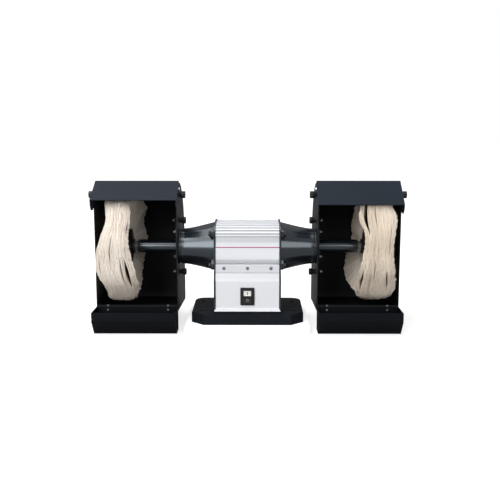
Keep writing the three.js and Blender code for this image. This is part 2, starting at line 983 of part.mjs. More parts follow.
function spindleShaft() {
  const coreRadius = spindle.coreSeat / 2;
  const seatEnd = noseFloor - seatGap;
  const half = [
    [bearingStart - seatGap, coreRadius],
    [bearingStart - seatGap, spindle.bearingSeat / 2],
    [seatEnd, spindle.bearingSeat / 2],
    [seatEnd, spindle.inTube / 2],
    [flangeShoulder, spindle.inTube / 2],
    [flangeShoulder, spindle.end / 2],
    [spindleEnd - spindle.chamfer, spindle.end / 2],
    [spindleEnd, spindle.end / 2 - spindle.chamfer],
    [spindleEnd, 0],
  ];
  const mirroredHalf = half.map(([x, radius]) => [-x, radius]).reverse();
  return turned([...mirroredHalf, ...half], facets.medium);
}

function rotorCoreSolid() {
  const boreRadius = clearOf(spindle.coreSeat / 2 + seatGap, facets.small);
  const radius = statorInner - runningGap;
  const ringInner = spindle.coreSeat / 2 + rotorCore.ringHub;
  const ringOuter = radius - rotorCore.ringSetBack;
  const end = rotorCore.half + rotorCore.ringReach;
  const core = turnedRing([
    [-rotorCore.half, boreRadius],
    [-rotorCore.half, ringInner],
    [-end, ringInner],
    [-end, ringOuter],
    [-rotorCore.half, ringOuter],
    [-rotorCore.half, radius],
    [rotorCore.half, radius],
    [rotorCore.half, ringOuter],
    [end, ringOuter],
    [end, ringInner],
    [rotorCore.half, ringInner],
    [rotorCore.half, boreRadius],
  ], facets.small);
  const blades = [];
  const outline = rectangle(ringInner + runningGap, -rotorCore.bladeThickness / 2,
    ringOuter - runningGap, rotorCore.bladeThickness / 2);
  const spans = [
    [end - runningGap, end + rotorCore.bladeReach],
    [-end - rotorCore.bladeReach, -end + runningGap],
  ];
  for (let i = 0; i < rotorCore.blades; i++) {
    const turn = new THREE.Matrix4().makeRotationX(2 * Math.PI * i / rotorCore.blades);
    for (const [x0, x1] of spans) {
      blades.push(moved(alongX(outline, x0, x1), turn));
    }
  }
  return joined(core, ...blades);
}

addPiece(spindleLine, 'spindle_shaft', toGeometry(spindleShaft()), finish.steel);
addPiece(spindleLine, 'rotor_core', toGeometry(rotorCoreSolid()), finish.steel);
const boltNames = ['upper_front', 'upper_rear', 'lower_rear', 'lower_front'];
tieBoltPlaces().forEach(([y, z], i) => {
  addPiece(spindleLine, `tie_bolt_${boltNames[i]}`, toGeometry(tieBoltSolid(y, z)), finish.steel);
});

// Hood mounting bracket, inside the hood's motor-side wall

const bracketFace = hoodInner + sheet + seatGap;
const bracketBack = bracketFace + bracket.thickness;

function hoodBracket() {
  const tubeHole = bore(0, 0, tube.radius + seatGap, facets.medium);
  const studRadius = clampKnob.studRadius + seatGap;
  const reach = bracket.knobRise + bracket.endReach - bracket.width / 2;
  const outline = uprightSlot(0, -reach, reach, bracket.width / 2, 7);
  const knobHoles = [-1, 1].map((side) => bore(0, side * bracket.knobRise, studRadius, facets.pin));
  const plate = alongX(outline, bracketFace, bracketBack, [tubeHole, ...knobHoles]);
  const collar = alongX(circle(0, 0, bracket.collarRadius, facets.large), coneEnd + seatGap,
    bracketFace + bracket.thickness / 2, [tubeHole]);
  const nuts = [-1, 1].map((side) => alongX(
    hexagon(0, side * bracket.knobRise, bracket.nutAcross), bracketBack - bracket.thickness / 2,
    bracketBack + bracket.nutHeight, [bore(0, side * bracket.knobRise, studRadius, facets.pin)]));
  return joined(plate, collar, ...nuts);
}

// A knob along X: head, neck and stud; it stands at the origin with its neck's seat at x = 0
// and its head on the −X side
function knobSolid(knob) {
  const headEnd = -knob.neck - knob.head;
  const rim = ridged(knob.headRadius, knob.ridgeDepth, knob.ridges);
  const head = alongX(rim, headEnd + knob.ridgeDepth, -knob.neck);
  const core = turned([
    [headEnd, 0],
    [headEnd, knob.headRadius - 2 * knob.ridgeDepth],
    [headEnd + 2 * knob.ridgeDepth, knob.neckRadius],
    [0, knob.neckRadius],
    [0, knob.studRadius],
    [knob.studReach - knob.tipLength, knob.studRadius],
    [knob.studReach, knob.studRadius - knob.tipLength],
    [knob.studReach, 0],
  ], facets.small);
  return head.add(core);
}

// Hood: two flat walls, a folded wrapper between them, and a dust tray in front

const hoodRear = buff.radius + hood.rearClear;
const hoodRadius = buff.radius + hood.radiusClear;
const hoodFloorRear = buff.radius + hood.floorRearClear;
const hoodFloorFront = buff.radius + hood.floorFrontClear;
const arcCentre = { y: hoodRear - hoodRadius, z: hood.topClear - hood.radiusClear };
const pivotPlace = { y: -visor.pivotAhead, z: buff.radius + visor.pivotClear };
const studPlace = { y: pivotPlace.y, z: pivotPlace.z - visor.slotRadius };

// Outside of the hood from the wrapper's front edge, over the back, to the mouth's lower corner
function hoodBackPath() {
  const wrapperFront = visor.pivotAhead - hood.wrapperSetBack;
  const start = 90 + THREE.MathUtils.radToDeg(Math.asin((wrapperFront + arcCentre.y) / hoodRadius));
  const slope = Math.atan2(hoodFloorRear - hoodFloorFront, hoodRear + hood.front);
  const foldY = hoodRear - hood.foldRadius;
  const floorAtFold = -hoodFloorRear + hood.foldRadius * Math.tan(slope);
  const foldZ = floorAtFold + hood.foldRadius / Math.cos(slope);
  return [
    ...arc(arcCentre.y, arcCentre.z, hoodRadius, start, 0, 12),
    ...arc(foldY, foldZ, hood.foldRadius, 0, -90 - THREE.MathUtils.radToDeg(slope), 4),
    point(-hood.front, -hoodFloorFront),
  ];
}

// The walls' front upper corner clears the visor at its lowest tilt
function wallOutline() {
  const ear = visor.plateOffset - sheet - runningGap;
  const tilt = radians(visor.lowestTilt);
  const shoulder = point(pivotPlace.y - ear * Math.sin(tilt), pivotPlace.z + ear * Math.cos(tilt));
  const run = (hood.front + shoulder.x) / Math.cos(tilt);
  const corner = point(-hood.front, shoulder.y - run * Math.sin(tilt));
  const along = point(Math.cos(tilt), Math.sin(tilt));
  return [
    ...hoodBackPath(),
    point(corner.x, corner.y - hood.noseCorner),
    corner.clone().addScaledVector(along, hood.noseCorner),
    ...arc(pivotPlace.y, pivotPlace.z, ear, 90 + visor.lowestTilt, 90, 4),
  ];
}

function wallHoles() {
  return [
    bore(pivotPlace.y, pivotPlace.z, pivot.pinRadius + seatGap, facets.pin),
    bore(studPlace.y, studPlace.z, visorKnob.studRadius + seatGap, facets.pin),
  ];
}

function hoodInnerWall() {
  const clear = bracket.collarRadius + seatGap + runningGap;
  const slotRadius = clampKnob.studRadius + bracket.slotClear;
  const slotHalf = bracket.slotReach - slotRadius;
  const slots = [-1, 1].map((side) => uprightSlot(0, side * bracket.knobRise - slotHalf,
    side * bracket.knobRise + slotHalf, slotRadius, 4));
  const collarHole = uprightSlot(0, -bracket.travel, bracket.travel, clear, 12);
  return alongX(wallOutline(), hoodInner, hoodInner + sheet, [...wallHoles(), collarHole, ...slots]);
}

function hoodOuterWall() {
  return alongX(wallOutline(), hoodOuter - sheet, hoodOuter, wallHoles());
}

function hoodWrapper() {
  const path = [...hoodBackPath(), point(-hood.front, -hoodFloorFront + hood.lip)];
  return alongX(foldedSheet(path, sheet), hoodInner + sheet + seatGap, hoodOuter - sheet - seatGap);
}

function dustTray() {
  const rear = -hood.front - seatGap;
  const front = -hood.front - tray.reach;
  const floor = -hoodFloorFront - tray.floorDrop;
  const path = [
    point(rear, -hoodFloorFront + tray.rearTop),
    point(rear, floor),
    point(-hood.front - tray.floorReach, floor),
    point(front, -hoodFloorFront - tray.bendDrop),
    point(front, -hoodFloorFront + tray.frontTop),
  ];
  const trough = alongX(foldedSheet(path, sheet), hoodInner + sheet / 2, hoodOuter - sheet / 2);
  return joined(
    trough,
    alongX(path, hoodInner, hoodInner + sheet),
    alongX(path, hoodOuter - sheet, hoodOuter));
}

// Visor, drawn about its pivot and level: Y to the back, Z up from its plate

function visorFlangeOutline() {
  const { rearReach, frontReach, plateOffset, flangeDepth, tipReach, tipRadius, noseBulge } = visor;
  return [
    point(rearReach, plateOffset),
    point(-frontReach, plateOffset),
    point(-frontReach - noseBulge, 0),
    point(-frontReach, -flangeDepth + 2 * noseBulge),
    point(-tipReach - tipRadius, -flangeDepth + tipRadius / 2),
    point(-tipReach + tipRadius, -flangeDepth),
    point(rearReach / 2, -flangeDepth),
    point(rearReach, -flangeDepth + rearReach / 2),
  ];
}

// Arc slot for the knob's stud, which hangs straight under the pivot at every tilt
function visorSlot() {
  const half = visorKnob.studRadius + visor.slotClear;
  const margin = THREE.MathUtils.radToDeg((half + visor.slotEndClear / 2) / visor.slotRadius);
  const low = 270 - visor.lowestTilt - margin;
  const high = 270 - visor.highestTilt + margin;
  return [
    ...arc(0, 0, visor.slotRadius + half, low, high, 8),
    ...arc(0, 0, visor.slotRadius - half, high, low, 8),
  ];
}

function visorSolid() {
  const low = hoodInner - seatGap - sheet;
  const high = hoodOuter + seatGap + sheet;
  const holes = () => [bore(0, 0, pivot.pinRadius + seatGap, facets.pin), visorSlot()];
  const plate = rectangle(-visor.frontReach, visor.plateOffset - sheet, visor.rearReach, visor.plateOffset);
  return joined(
    alongX(plate, low, high),
    alongX(visorFlangeOutline(), low, low + sheet, holes()),
    alongX(visorFlangeOutline(), high - sheet, high, holes()));
}

// A shouldered screw that the visor turns on; x = 0 is the wall's outside and the head is on the −X side
function pivotSolid() {
  const headSeat = -2 * seatGap - sheet;
  const nutSeat = sheet + seatGap;
  return turned([
    [headSeat - pivot.head, 0],
    [headSeat - pivot.head, pivot.headRadius - seatGap],
    [headSeat - pivot.head + seatGap, pivot.headRadius],
    [headSeat, pivot.headRadius],
    [headSeat, pivot.pinRadius],
    [nutSeat, pivot.pinRadius],
    [nutSeat, pivot.nutRadius],
    [nutSeat + pivot.nut, pivot.nutRadius],
    [nutSeat + pivot.nut, 0],
  ], facets.pin);
}

// Buff clamp flanges, spindle nuts and the cotton buffs

// The hub stands out from the contact face against the direction given
function flangeSolid(contact, direction) {
  const boreRadius = clearOf(spindle.end / 2 + seatGap, facets.large);
  const { radius, hubRadius, hub, plate, rim, dish } = clampFlange;
  const back = contact - direction * plate;
  return turnedRing([
    [back - direction * hub, boreRadius],
    [back - direction * hub, hubRadius],
    [back, hubRadius],
    [back + direction * dish, radius],
    [contact, radius],
    [contact, radius - rim],
    [contact - direction * dish, radius - rim],
    [contact - direction * dish, boreRadius],
  ], facets.large);
}

function spindleNutSolid() {
  const hole = bore(0, 0, spindle.end / 2 + seatGap, facets.medium);
  return alongX(hexagon(0, 0, spindleNut.acrossFlats), nutStart, nutStart + spindleNut.height, [hole]);
}

// A smooth value between ones spaced evenly round a full turn
function aroundRim(values, angle) {
  const place = values.length * angle / (2 * Math.PI);
  const first = Math.floor(place);
  const t = place - first;
  const [before, from, to, after] = [-1, 0, 1, 2].map((step) => (
    values[(first + step + values.length) % values.length]));
  const slopes = [(to - before) / 2, (after - from) / 2];
  return from + t * slopes[0] + t ** 2 * (3 * (to - from) - 2 * slopes[0] - slopes[1])
    + t ** 3 * (2 * (from - to) + slopes[0] + slopes[1]);
}

// One section of loose cotton plies: flat where it is clamped, spread to its own edge at the rim
function buffSection(inboard, { phase, outboardShares, inboardShares }) {
  const boreRadius = clearOf(spindle.end / 2 + seatGap, buff.steps);
  const clamped = clampFlange.radius + runningGap;
  const reach = buff.radius - buff.ripple;
  const middle = (buffStart + buffEnd) / 2;
  const hub = inboard ? [buffStart, buffStart + buff.sectionHub] : [buffEnd - buff.sectionHub, buffEnd];
  const outside = inboard ? -1 : 1;
  const section = (angle) => {
    const ripple = buff.ripple * Math.sin(buff.ripples * angle + phase);
    const edges = [inboardShares, outboardShares].map((shares) => (
      middle + hood.width * aroundRim(shares, angle)));
    const edge = edges[inboard ? 0 : 1];
    const crack = (edges[0] + edges[1]) / 2 + outside * buff.crackSpread
      + buff.crackWave * Math.sin(buff.crackWaves * angle + phase);
    const face = (x, isOutside) => buff.ringShares.map((share) => {
      const radius = clamped + (reach - buff.rimRound - clamped) * share;
      const spread = (isOutside ? edge : crack) - x;
      return [x + spread * share ** buff.spreadPower, radius + ripple * share];
    });
    const low = face(hub[0], inboard);
    const high = face(hub[1], !inboard);
    const [lowRim] = low.slice(-1);
    const [highRim] = high.slice(-1);
    const rim = buff.rimShares.map((share) => [
      lowRim[0] + (highRim[0] - lowRim[0]) * share,
      reach - buff.rimRound * (1 - Math.sin(Math.PI * share)) + ripple,
    ]);
    return [
      [hub[0], boreRadius], [hub[0], clamped], ...low,
      ...rim,
      ...high.reverse(), [hub[1], clamped], [hub[1], boreRadius],
    ];
  };
  const vertices = [];
  const triangles = [];
  let count = 0;
  for (let j = 0; j < buff.steps; j++) {
    const angle = 2 * Math.PI * j / buff.steps;
    const ring = section(angle);
    count = ring.length;
    for (const [x, radius] of ring) {
      vertices.push(x, radius * Math.cos(angle), radius * Math.sin(angle));
    }
  }
  for (let j = 0; j < buff.steps; j++) {
    const next = (j + 1) % buff.steps;
    for (let k = 0; k < count; k++) {
      const after = (k + 1) % count;
      const [a, b] = [j * count + k, j * count + after];
      const [c, d] = [next * count + k, next * count + after];
      triangles.push(a, c, b, b, c, d);
    }
  }
  const geometry = new THREE.BufferGeometry();
  geometry.setAttribute('position', new THREE.Float32BufferAttribute(vertices, 3));
  geometry.setIndex(triangles);
  return solid(geometry);
}

// Both ends of the machine: what is drawn for the right side is mirrored for the left

// Each buff's edges are given round its rim from the back over the top, as shares of the hood's
// width from the buff's middle
const sides = [
  {
    name: 'left',
    sign: -1,
    tilt: 26,
    phase: 0.4,
    outboardShares: [
      0.216, 0.230, 0.193, 0.180, 0.216, 0.216, 0.187, 0.152, 0.193,
      0.252, 0.250, 0.191, 0.175, 0.207, 0.234, 0.212, 0.171, 0.180,
    ],
    inboardShares: [
      -0.202, -0.161, -0.213, -0.179, -0.147, -0.125, -0.122, -0.143, -0.134,
      -0.161, -0.204, -0.234, -0.197, -0.147, -0.136, -0.152, -0.143, -0.166,
    ],
  },
  {
    name: 'right',
    sign: 1,
    tilt: 35,
    phase: 2.1,
    outboardShares: [
      0.193, 0.162, 0.189, 0.230, 0.221, 0.193, 0.209, 0.252, 0.205,
      0.193, 0.216, 0.248, 0.221, 0.180, 0.171, 0.207, 0.239, 0.230,
    ],
    inboardShares: [
      -0.163, -0.170, -0.143, -0.120, -0.138, -0.161, -0.170, -0.202, -0.150,
      -0.170, -0.207, -0.229, -0.207, -0.157, -0.152, -0.227, -0.266, -0.234,
    ],
  },
];

function addSide({ name, sign, tilt, ...plies }) {
  const handed = (body) => (sign < 0 ? mirrored(toGeometry(body)) : toGeometry(body));
  const flipped = (body) => (sign < 0 ? toGeometry(body) : mirrored(toGeometry(body)));
  const add = (piece, body, material) => addPiece(spindleLine, `${name}_${piece}`, handed(body), material);

  add('end_plate', endPlateSolid(), finish.gloss);
  add('cone', coneSolid(), finish.gloss);
  add('bearing', bearingSolid(), finish.steel);
  add('shaft_tube', shaftTube(), finish.gloss);
  add('hood_bracket', hoodBracket(), finish.sheet);

  add('inner_flange', flangeSolid(flangeContact, 1), finish.dark);
  add('buff_inner_section', buffSection(true, plies), finish.cotton);
  add('buff_outer_section', buffSection(false, plies), finish.cotton);
  add('outer_flange', flangeSolid(outerContact, -1), finish.dark);
  add('spindle_nut', spindleNutSolid(), finish.steel);

  add('hood_inner_wall', hoodInnerWall(), finish.sheet);
  add('hood_outer_wall', hoodOuterWall(), finish.sheet);
  add('hood_wrapper', hoodWrapper(), finish.sheet);
  add('dust_tray', dustTray(), finish.sheet);

  const knobSeat = hoodInner - seatGap;
  for (const [level, height] of [['upper', bracket.knobRise], ['lower', -bracket.knobRise]]) {
    const knob = add(`hood_clamp_${level}`, knobSolid(clampKnob), finish.dark);
    knob.position.set(sign * knobSeat, 0, height);
  }

  const visorKnobSeat = 2 * seatGap + sheet;
  const inside = { label: 'inner', wall: hoodInner, out: -1, turn: handed };
  const outside = { label: 'outer', wall: hoodOuter, out: 1, turn: flipped };
  for (const { label, wall, out, turn } of [inside, outside]) {
    const addTurned = (piece, body, material) => (
      addPiece(spindleLine, `${name}_visor_${piece}_${label}`, turn(body), material));
    const screw = addTurned('pivot', pivotSolid(), finish.steel);
    screw.position.set(sign * wall, pivotPlace.y, pivotPlace.z);
    const knob = addTurned('knob', knobSolid(visorKnob), finish.dark);
    knob.position.set(sign * (wall + out * visorKnobSeat), studPlace.y, studPlace.z);
  }

  const hinge = new THREE.Group();
  hinge.position.set(0, pivotPlace.y, pivotPlace.z);
  hinge.rotation.x = radians(tilt);
  spindleLine.add(hinge);
  addPiece(hinge, `${name}_visor`, handed(visorSolid()), finish.visor);
}

sides.forEach(addSide);

export default machine;
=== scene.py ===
"""Double-ended polishing machine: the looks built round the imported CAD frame.

Metres, in the frame of the CAD: X along the spindle to the right, Y to the back, Z up, with
the origin in the middle of the underside of the base.
"""

import math
import random

import bmesh
import bpy
from mathutils import Matrix, Vector, noise


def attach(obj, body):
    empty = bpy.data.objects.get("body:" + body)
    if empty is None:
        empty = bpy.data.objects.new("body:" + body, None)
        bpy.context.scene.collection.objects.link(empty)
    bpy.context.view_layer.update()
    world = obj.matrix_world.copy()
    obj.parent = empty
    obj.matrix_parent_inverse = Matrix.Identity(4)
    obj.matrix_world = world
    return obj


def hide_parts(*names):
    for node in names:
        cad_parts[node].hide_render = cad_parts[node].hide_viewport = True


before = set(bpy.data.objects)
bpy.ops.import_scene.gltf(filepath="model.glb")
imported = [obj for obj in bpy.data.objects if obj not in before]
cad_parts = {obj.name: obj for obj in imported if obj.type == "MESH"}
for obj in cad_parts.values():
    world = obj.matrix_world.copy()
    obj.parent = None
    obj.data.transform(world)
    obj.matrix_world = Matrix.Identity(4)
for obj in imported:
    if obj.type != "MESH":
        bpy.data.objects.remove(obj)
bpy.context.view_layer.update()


# Base casting
# The heavy foot of the machine: a shell of grey cast iron with a raised seat for the motor
# and four bolt holes. It is fettled, filled and sprayed with blue-black satin enamel.

class Value:
    """A node's output that takes part in Python sums."""

    def __init__(self, nodes, socket):
        self.nodes = nodes
        self.socket = socket

    def reckon(self, operation, *terms):
        return self.nodes.add("ShaderNodeMath", {"operation": operation}, terms)

    def __add__(self, other):
        return self.reckon("ADD", self, other)

    def __sub__(self, other):
        return self.reckon("SUBTRACT", self, other)

    def __rsub__(self, other):
        return self.reckon("SUBTRACT", other, self)

    def __mul__(self, other):
        return self.reckon("MULTIPLY", self, other)

    def __truediv__(self, other):
        return self.reckon("DIVIDE", self, other)

    def __gt__(self, other):
        return self.reckon("GREATER_THAN", self, other)

    def __lt__(self, other):
        return self.reckon("LESS_THAN", self, other)

    def __abs__(self):
        return self.reckon("ABSOLUTE", self)

    def wave(self):
        return self.reckon("SINE", self)

    def root(self):
        return self.reckon("SQRT", self)

    def at_least(self, least):
        return self.reckon("MAXIMUM", self, least)

    __radd__ = __add__
    __rmul__ = __mul__


class Nodes:
    """The nodes of one material, or of the studio round the machine."""

    def __init__(self, tree):
        self.tree = tree

    def add(self, kind, settings=None, inputs=(), output=0):
        node = self.tree.nodes.new(kind)
        for setting, value in (settings or {}).items():
            if setting == "stops":
                self.set_stops(node.color_ramp, value)
            else:
                setattr(node, setting, value)
        pairs = inputs.items() if isinstance(inputs, dict) else enumerate(inputs)
        for socket, value in pairs:
            self.feed(node.inputs[socket], value)
        return Value(self, node.outputs[output])

    def set_stops(self, ramp, stops):
        while len(ramp.elements) < len(stops):
            ramp.elements.new(0.5)
        for element, (place, shade) in zip(ramp.elements, stops):
            element.position = place
            element.color = (shade, shade, shade, 1)

    def feed(self, socket, value):
        if isinstance(value, Value):
            self.tree.links.new(value.socket, socket)
        else:
            socket.default_value = value

    def fade(self, value, start, end, low=0, high=1):
        """Goes from low to high while a value rises from start to end."""
        share = (value - start) / (end - start)
        return self.add("ShaderNodeValToRGB", {"stops": ((0, low), (1, high))}, [share])

    def around(self, middle, *drifts):
        """Wanders about a middle; each drift is a pattern from nought to one and its swing."""
        return middle + sum((pattern - 0.5) * swing for pattern, swing in drifts)

    def mixed(self, factor, first, second):
        """Two colours mixed. The node's colour inputs are 6 and 7, and its colour output is 2."""
        first, second = ((*colour, 1) if isinstance(colour, tuple) else colour
                         for colour in (first, second))
        inputs = {0: factor, 6: first, 7: second}
        return self.add("ShaderNodeMix", {"data_type": "RGBA"}, inputs, output=2)

    def part(self, vector, letter):
        return self.add("ShaderNodeSeparateXYZ", inputs=[vector], output=letter)


class Finish(Nodes):
    """The finish of one kind of surface: a Principled shader and the nodes that vary it."""

    def __init__(self, name, **constants):
        self.material = bpy.data.materials.new(name)
        self.material.use_nodes = True
        super().__init__(self.material.node_tree)
        self.shader = self.tree.nodes["Principled BSDF"]
        for socket, value in constants.items():
            self.shader.inputs[socket.replace("_", " ")].default_value = value

    def surface(self, **inputs):
        for socket, value in inputs.items():
            self.feed(self.shader.inputs[socket.replace("_", " ")], value)

    def place(self):
        return self.add("ShaderNodeTexCoord", output="Object")

    def stretched(self, along):
        return self.add("ShaderNodeMapping", inputs={"Vector": self.place(), "Scale": along})

    def speckle(self, scale, detail=2.0, place=None):
        inputs = {"Vector": place or self.place(), "Scale": scale, "Detail": detail}
        return self.add("ShaderNodeTexNoise", inputs=inputs)

    def relief(self, height, depth):
        inputs = {"Distance": depth, "Height": height}
        return self.add("ShaderNodeBump", inputs=inputs, output="Normal")


def shade(colour, factor):
    """A colour made darker or lighter."""
    return tuple(min(1.0, channel * factor) for channel in colour)


def sprayed(name, colour, roughness, peel=900, depth=0.00002, level=0.5, tint=(1, 1, 1, 1)):
    """Sprayed enamel: a slight orange peel, and a gloss and tone that drift a little."""
    paint = Finish(name, Specular_IOR_Level=level, Specular_Tint=tint)
    cloud = paint.speckle(14, 3)
    dust = paint.speckle(260, 2)
    paint.surface(
        Base_Color=paint.mixed(cloud, shade(colour, 0.86), shade(colour, 1.14)),
        Roughness=paint.around(roughness, (cloud, 0.07), (dust, 0.05)),
        Normal=paint.relief(paint.speckle(peel, 1), depth),
    )
    return paint


def make_piece(name, shape, finish, body, stands_for=(), softness=0.0, crease=32):
    """Names a finished shape, softens its edges and lets it ride on a body."""
    bmesh.ops.recalc_face_normals(shape, faces=shape.faces)
    mesh = bpy.data.meshes.new(name)
    shape.to_mesh(mesh)
    shape.free()
    mesh.shade_smooth()
    mesh.set_sharp_from_angle(angle=math.radians(crease))
    mesh.materials.append(finish.material)
    piece = bpy.data.objects.new(name, mesh)
    bpy.context.scene.collection.objects.link(piece)
    if softness:
        edge = piece.modifiers.new("soft_edges", "BEVEL")
        edge.width = softness
        edge.segments = 3
        edge.limit_method = "ANGLE"
        edge.angle_limit = math.radians(crease)
        edge.harden_normals = True
    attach(piece, body)
    if stands_for:
        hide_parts(*stands_for)


weld_distance = 0.000005
flat_within = math.radians(0.5)


def shape_of(node):
    """The welded shape of a CAD node, with its flat faces whole again."""
    shape = bmesh.new()
    shape.from_mesh(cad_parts[node].data)
    bmesh.ops.remove_doubles(shape, verts=shape.verts, dist=weld_distance)
    bmesh.ops.dissolve_limit(shape, angle_limit=flat_within, verts=shape.verts, edges=shape.edges)
    return shape


foot_dark = (0.0082, 0.0100, 0.0140)
foot_light = (0.0125, 0.0150, 0.0205)
cast_black = Finish("cast_black_enamel", Specular_IOR_Level=0.07)
sand = cast_black.speckle(420, 4)
drift = cast_black.speckle(11, 3)
cast_black.surface(
    Base_Color=cast_black.mixed(drift, foot_dark, foot_light),
    Roughness=cast_black.around(0.52, (drift, 0.12), (sand, 0.16)),
    Normal=cast_black.relief(sand, 0.0003),
)
make_piece("base_foot", shape_of("base_casting"), cast_black, "machine",
           ["base_casting"], softness=0.0012)


# Bottom plate of the base
# A black sheet-steel plate, screwed up into the casting from below. It closes the wiring
# space, and its punched holes clear the four bolts.

plate_black = sprayed("plate_black_powder", (0.010, 0.011, 0.013), 0.55, peel=1400, level=0.25)
make_piece("base_floor", shape_of("base_bottom_plate"), plate_black, "machine",
           ["base_bottom_plate"], softness=0.0003)


# Motor housing
# An extruded aluminium tube with cooling grooves over its top and corners and a raised panel
# on each side. It is sprayed pale silver, and a thin coloured line runs along each panel.

axis_height = 0.196
# The raised panel: its lower edge, the middle of its chamfers and just inside its flat face
panel_foot = 0.1700
panel_edge = 0.0754
panel_flat = 0.0756
line_height = 0.2045
line_half = 0.00125
# The painted shadow lines under the two beads and at the panel's foot: height and half width
shadow_lines = ((0.1650, 0.0011), (0.1600, 0.0014), (panel_foot, 0.0006))
# The rounded top, from its start above the axis, and what is left of its height
corner_start = 0.0400
corner_radius = 0.0350
crown_start = axis_height + corner_start
crown_share = 0.77
# The cove under the lowest fin, and the heights between which its colour darkens into painted shade
cove_start = 0.2150
cove_end = 0.2332
cove_depth = 0.0024
cove_cuts = 7
cove_shade = (0.2139, 0.2211)
cove_shade_end = 0.2345
groove_shade = (0.0003, 0.0020)
silver_dark = (0.74, 0.755, 0.80)
silver_light = (0.82, 0.835, 0.885)
cove_painted_shade = (0.56, 0.575, 0.61)
groove_painted_shade = (0.42, 0.425, 0.44)
bead_painted_shadow = (0.15, 0.15, 0.16)
line_crimson = (0.42, 0.030, 0.15)


def low_crowned(shape):
    """Draws in the rounded top, which the photograph shows lower than the CAD has it."""
    for vert in shape.verts:
        if vert.co.z > crown_start:
            vert.co.z = crown_start + (vert.co.z - crown_start) * crown_share
    return shape


def coved(shape):
    """Draws the upper part of each panel in, so that the lowest fin stands out over it."""
    for sign in (-1, 1):
        for i in range(cove_cuts):
            cut_height = cove_start + (cove_end - cove_start) * i / cove_cuts
            panel = [f for f in shape.faces if sign * f.calc_center_median().y > panel_flat]
            face = max(panel, key=lambda f: f.calc_center_median().z)
            bmesh.ops.bisect_plane(shape, geom=[face, *face.edges, *face.verts],
                                   dist=weld_distance / 5, plane_co=(0, 0, cut_height),
                                   plane_no=(0, 0, 1))
    for vert in shape.verts:
        if abs(vert.co.y) > panel_edge and vert.co.z > cove_start:
            share = (vert.co.z - cove_start) / (cove_end - cove_start)
            vert.co.y -= math.copysign(cove_depth * share ** 2, vert.co.y)
    return shape


silver = Finish("housing_silver_enamel", Specular_IOR_Level=0.5)
drawn = silver.speckle(60, 3, silver.stretched((0.02, 1, 1)))
mist = silver.speckle(1600, 1)
height = silver.part(silver.place(), "Z")
depth = silver.part(silver.place(), "Y")
on_line = (abs(height - line_height) < line_half) * (abs(depth) > panel_edge)
# The depth below the housing's plain outline: the grooves get painted shade that darkens towards
# their floors
out = (abs(depth) - corner_start).at_least(0)
up = ((height - crown_start) / crown_share).at_least(0)
inside = corner_radius - (out * out + up * up).root()
in_groove_shade = silver.fade(inside, *groove_shade)
in_cove_shade = silver.fade(height, *cove_shade) * (height < cove_shade_end)
in_bead_shadow = sum(abs(height - place) < half for place, half in shadow_lines)
silver_tone = silver.mixed(drawn, silver_dark, silver_light)
cove_shaded_tone = silver.mixed(in_cove_shade, silver_tone, cove_painted_shade)
groove_shaded_tone = silver.mixed(in_groove_shade, cove_shaded_tone, groove_painted_shade)
bead_shadowed_tone = silver.mixed(in_bead_shadow, groove_shaded_tone, bead_painted_shadow)
silver.surface(
    Base_Color=silver.mixed(on_line, bead_shadowed_tone, line_crimson),
    Roughness=silver.around(0.34, (drawn, 0.10), (mist, 0.06)),
    Normal=silver.relief(mist, 0.000012),
)
make_piece("motor_shell", coved(low_crowned(shape_of("motor_housing"))), silver, "machine",
           ["motor_housing"], softness=0.00045)


# Stator core
# A stack of thin electrical-steel stampings, pressed into the housing. The edges of the
# stampings show as fine rings, and the lacquer between them leaves a blue-grey tone.

stamping_pitch = 0.001
lacquer_dark = (0.30, 0.31, 0.33)
lacquer_light = (0.42, 0.43, 0.46)
laminated = Finish("laminated_steel", Metallic=0.85)
stamping = laminated.part(laminated.place(), "X") * (2 * math.pi / stamping_pitch)
stain = laminated.speckle(40, 3)
laminated.surface(
    Base_Color=laminated.mixed(stain, lacquer_dark, lacquer_light),
    Roughness=laminated.around(0.42, (stain, 0.16)),
    Normal=laminated.relief(stamping.wave(), 0.0001),
)
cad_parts["stator_core"].material_slots[0].material = laminated.material


# Stator windings
# Coils of enamelled copper wire, laid in the slots of the core and laced at both ends. The
# strands run along the slots and are bound with clear varnish.

copper_dark = (0.36, 0.10, 0.035)
copper_light = (0.66, 0.26, 0.10)
wire = Finish("enamelled_copper", Metallic=0.9, Coat_Weight=0.4, Coat_Roughness=0.25)
strand = wire.speckle(700, 2, wire.stretched((0.04, 1, 1)))
wire.surface(
    Base_Color=wire.mixed(strand, copper_dark, copper_light),
    Roughness=0.30 + strand * 0.2,
    Normal=wire.relief(strand, 0.0004),
)
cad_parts["stator_windings"].material_slots[0].material = wire.material


# Rotor core
# Steel stampings on the spindle with a cast-aluminium cage. Its end rings carry small fan
# blades, and its outside is turned to size after casting.

cage_dark = (0.40, 0.41, 0.42)
cage_light = (0.58, 0.59, 0.60)
cage = Finish("rotor_cage", Metallic=0.9)
turning = cage.speckle(900, 2, cage.stretched((1, 0.03, 0.03)))
cage.surface(
    Base_Color=cage.mixed(turning, cage_dark, cage_light),
    Roughness=cage.around(0.36, (turning, 0.2)),
    Normal=cage.relief(turning, 0.00006),
)
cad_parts["rotor_core"].material_slots[0].material = cage.material


# Spindle
# One long turned and ground steel shaft through the whole machine. It steps down at each
# bearing and shoulder, and both ends are threaded for the buff nuts.

def outlined(points, closed=True):
    """A wire through points, ready to be spun or extruded."""
    shape = bmesh.new()
    corners = [shape.verts.new(point) for point in points]
    pairs = list(zip(corners, corners[1:]))
    if closed:
        pairs.append((corners[-1], corners[0]))
    for pair in pairs:
        shape.edges.new(pair)
    return shape


spun_weld = 0.000002


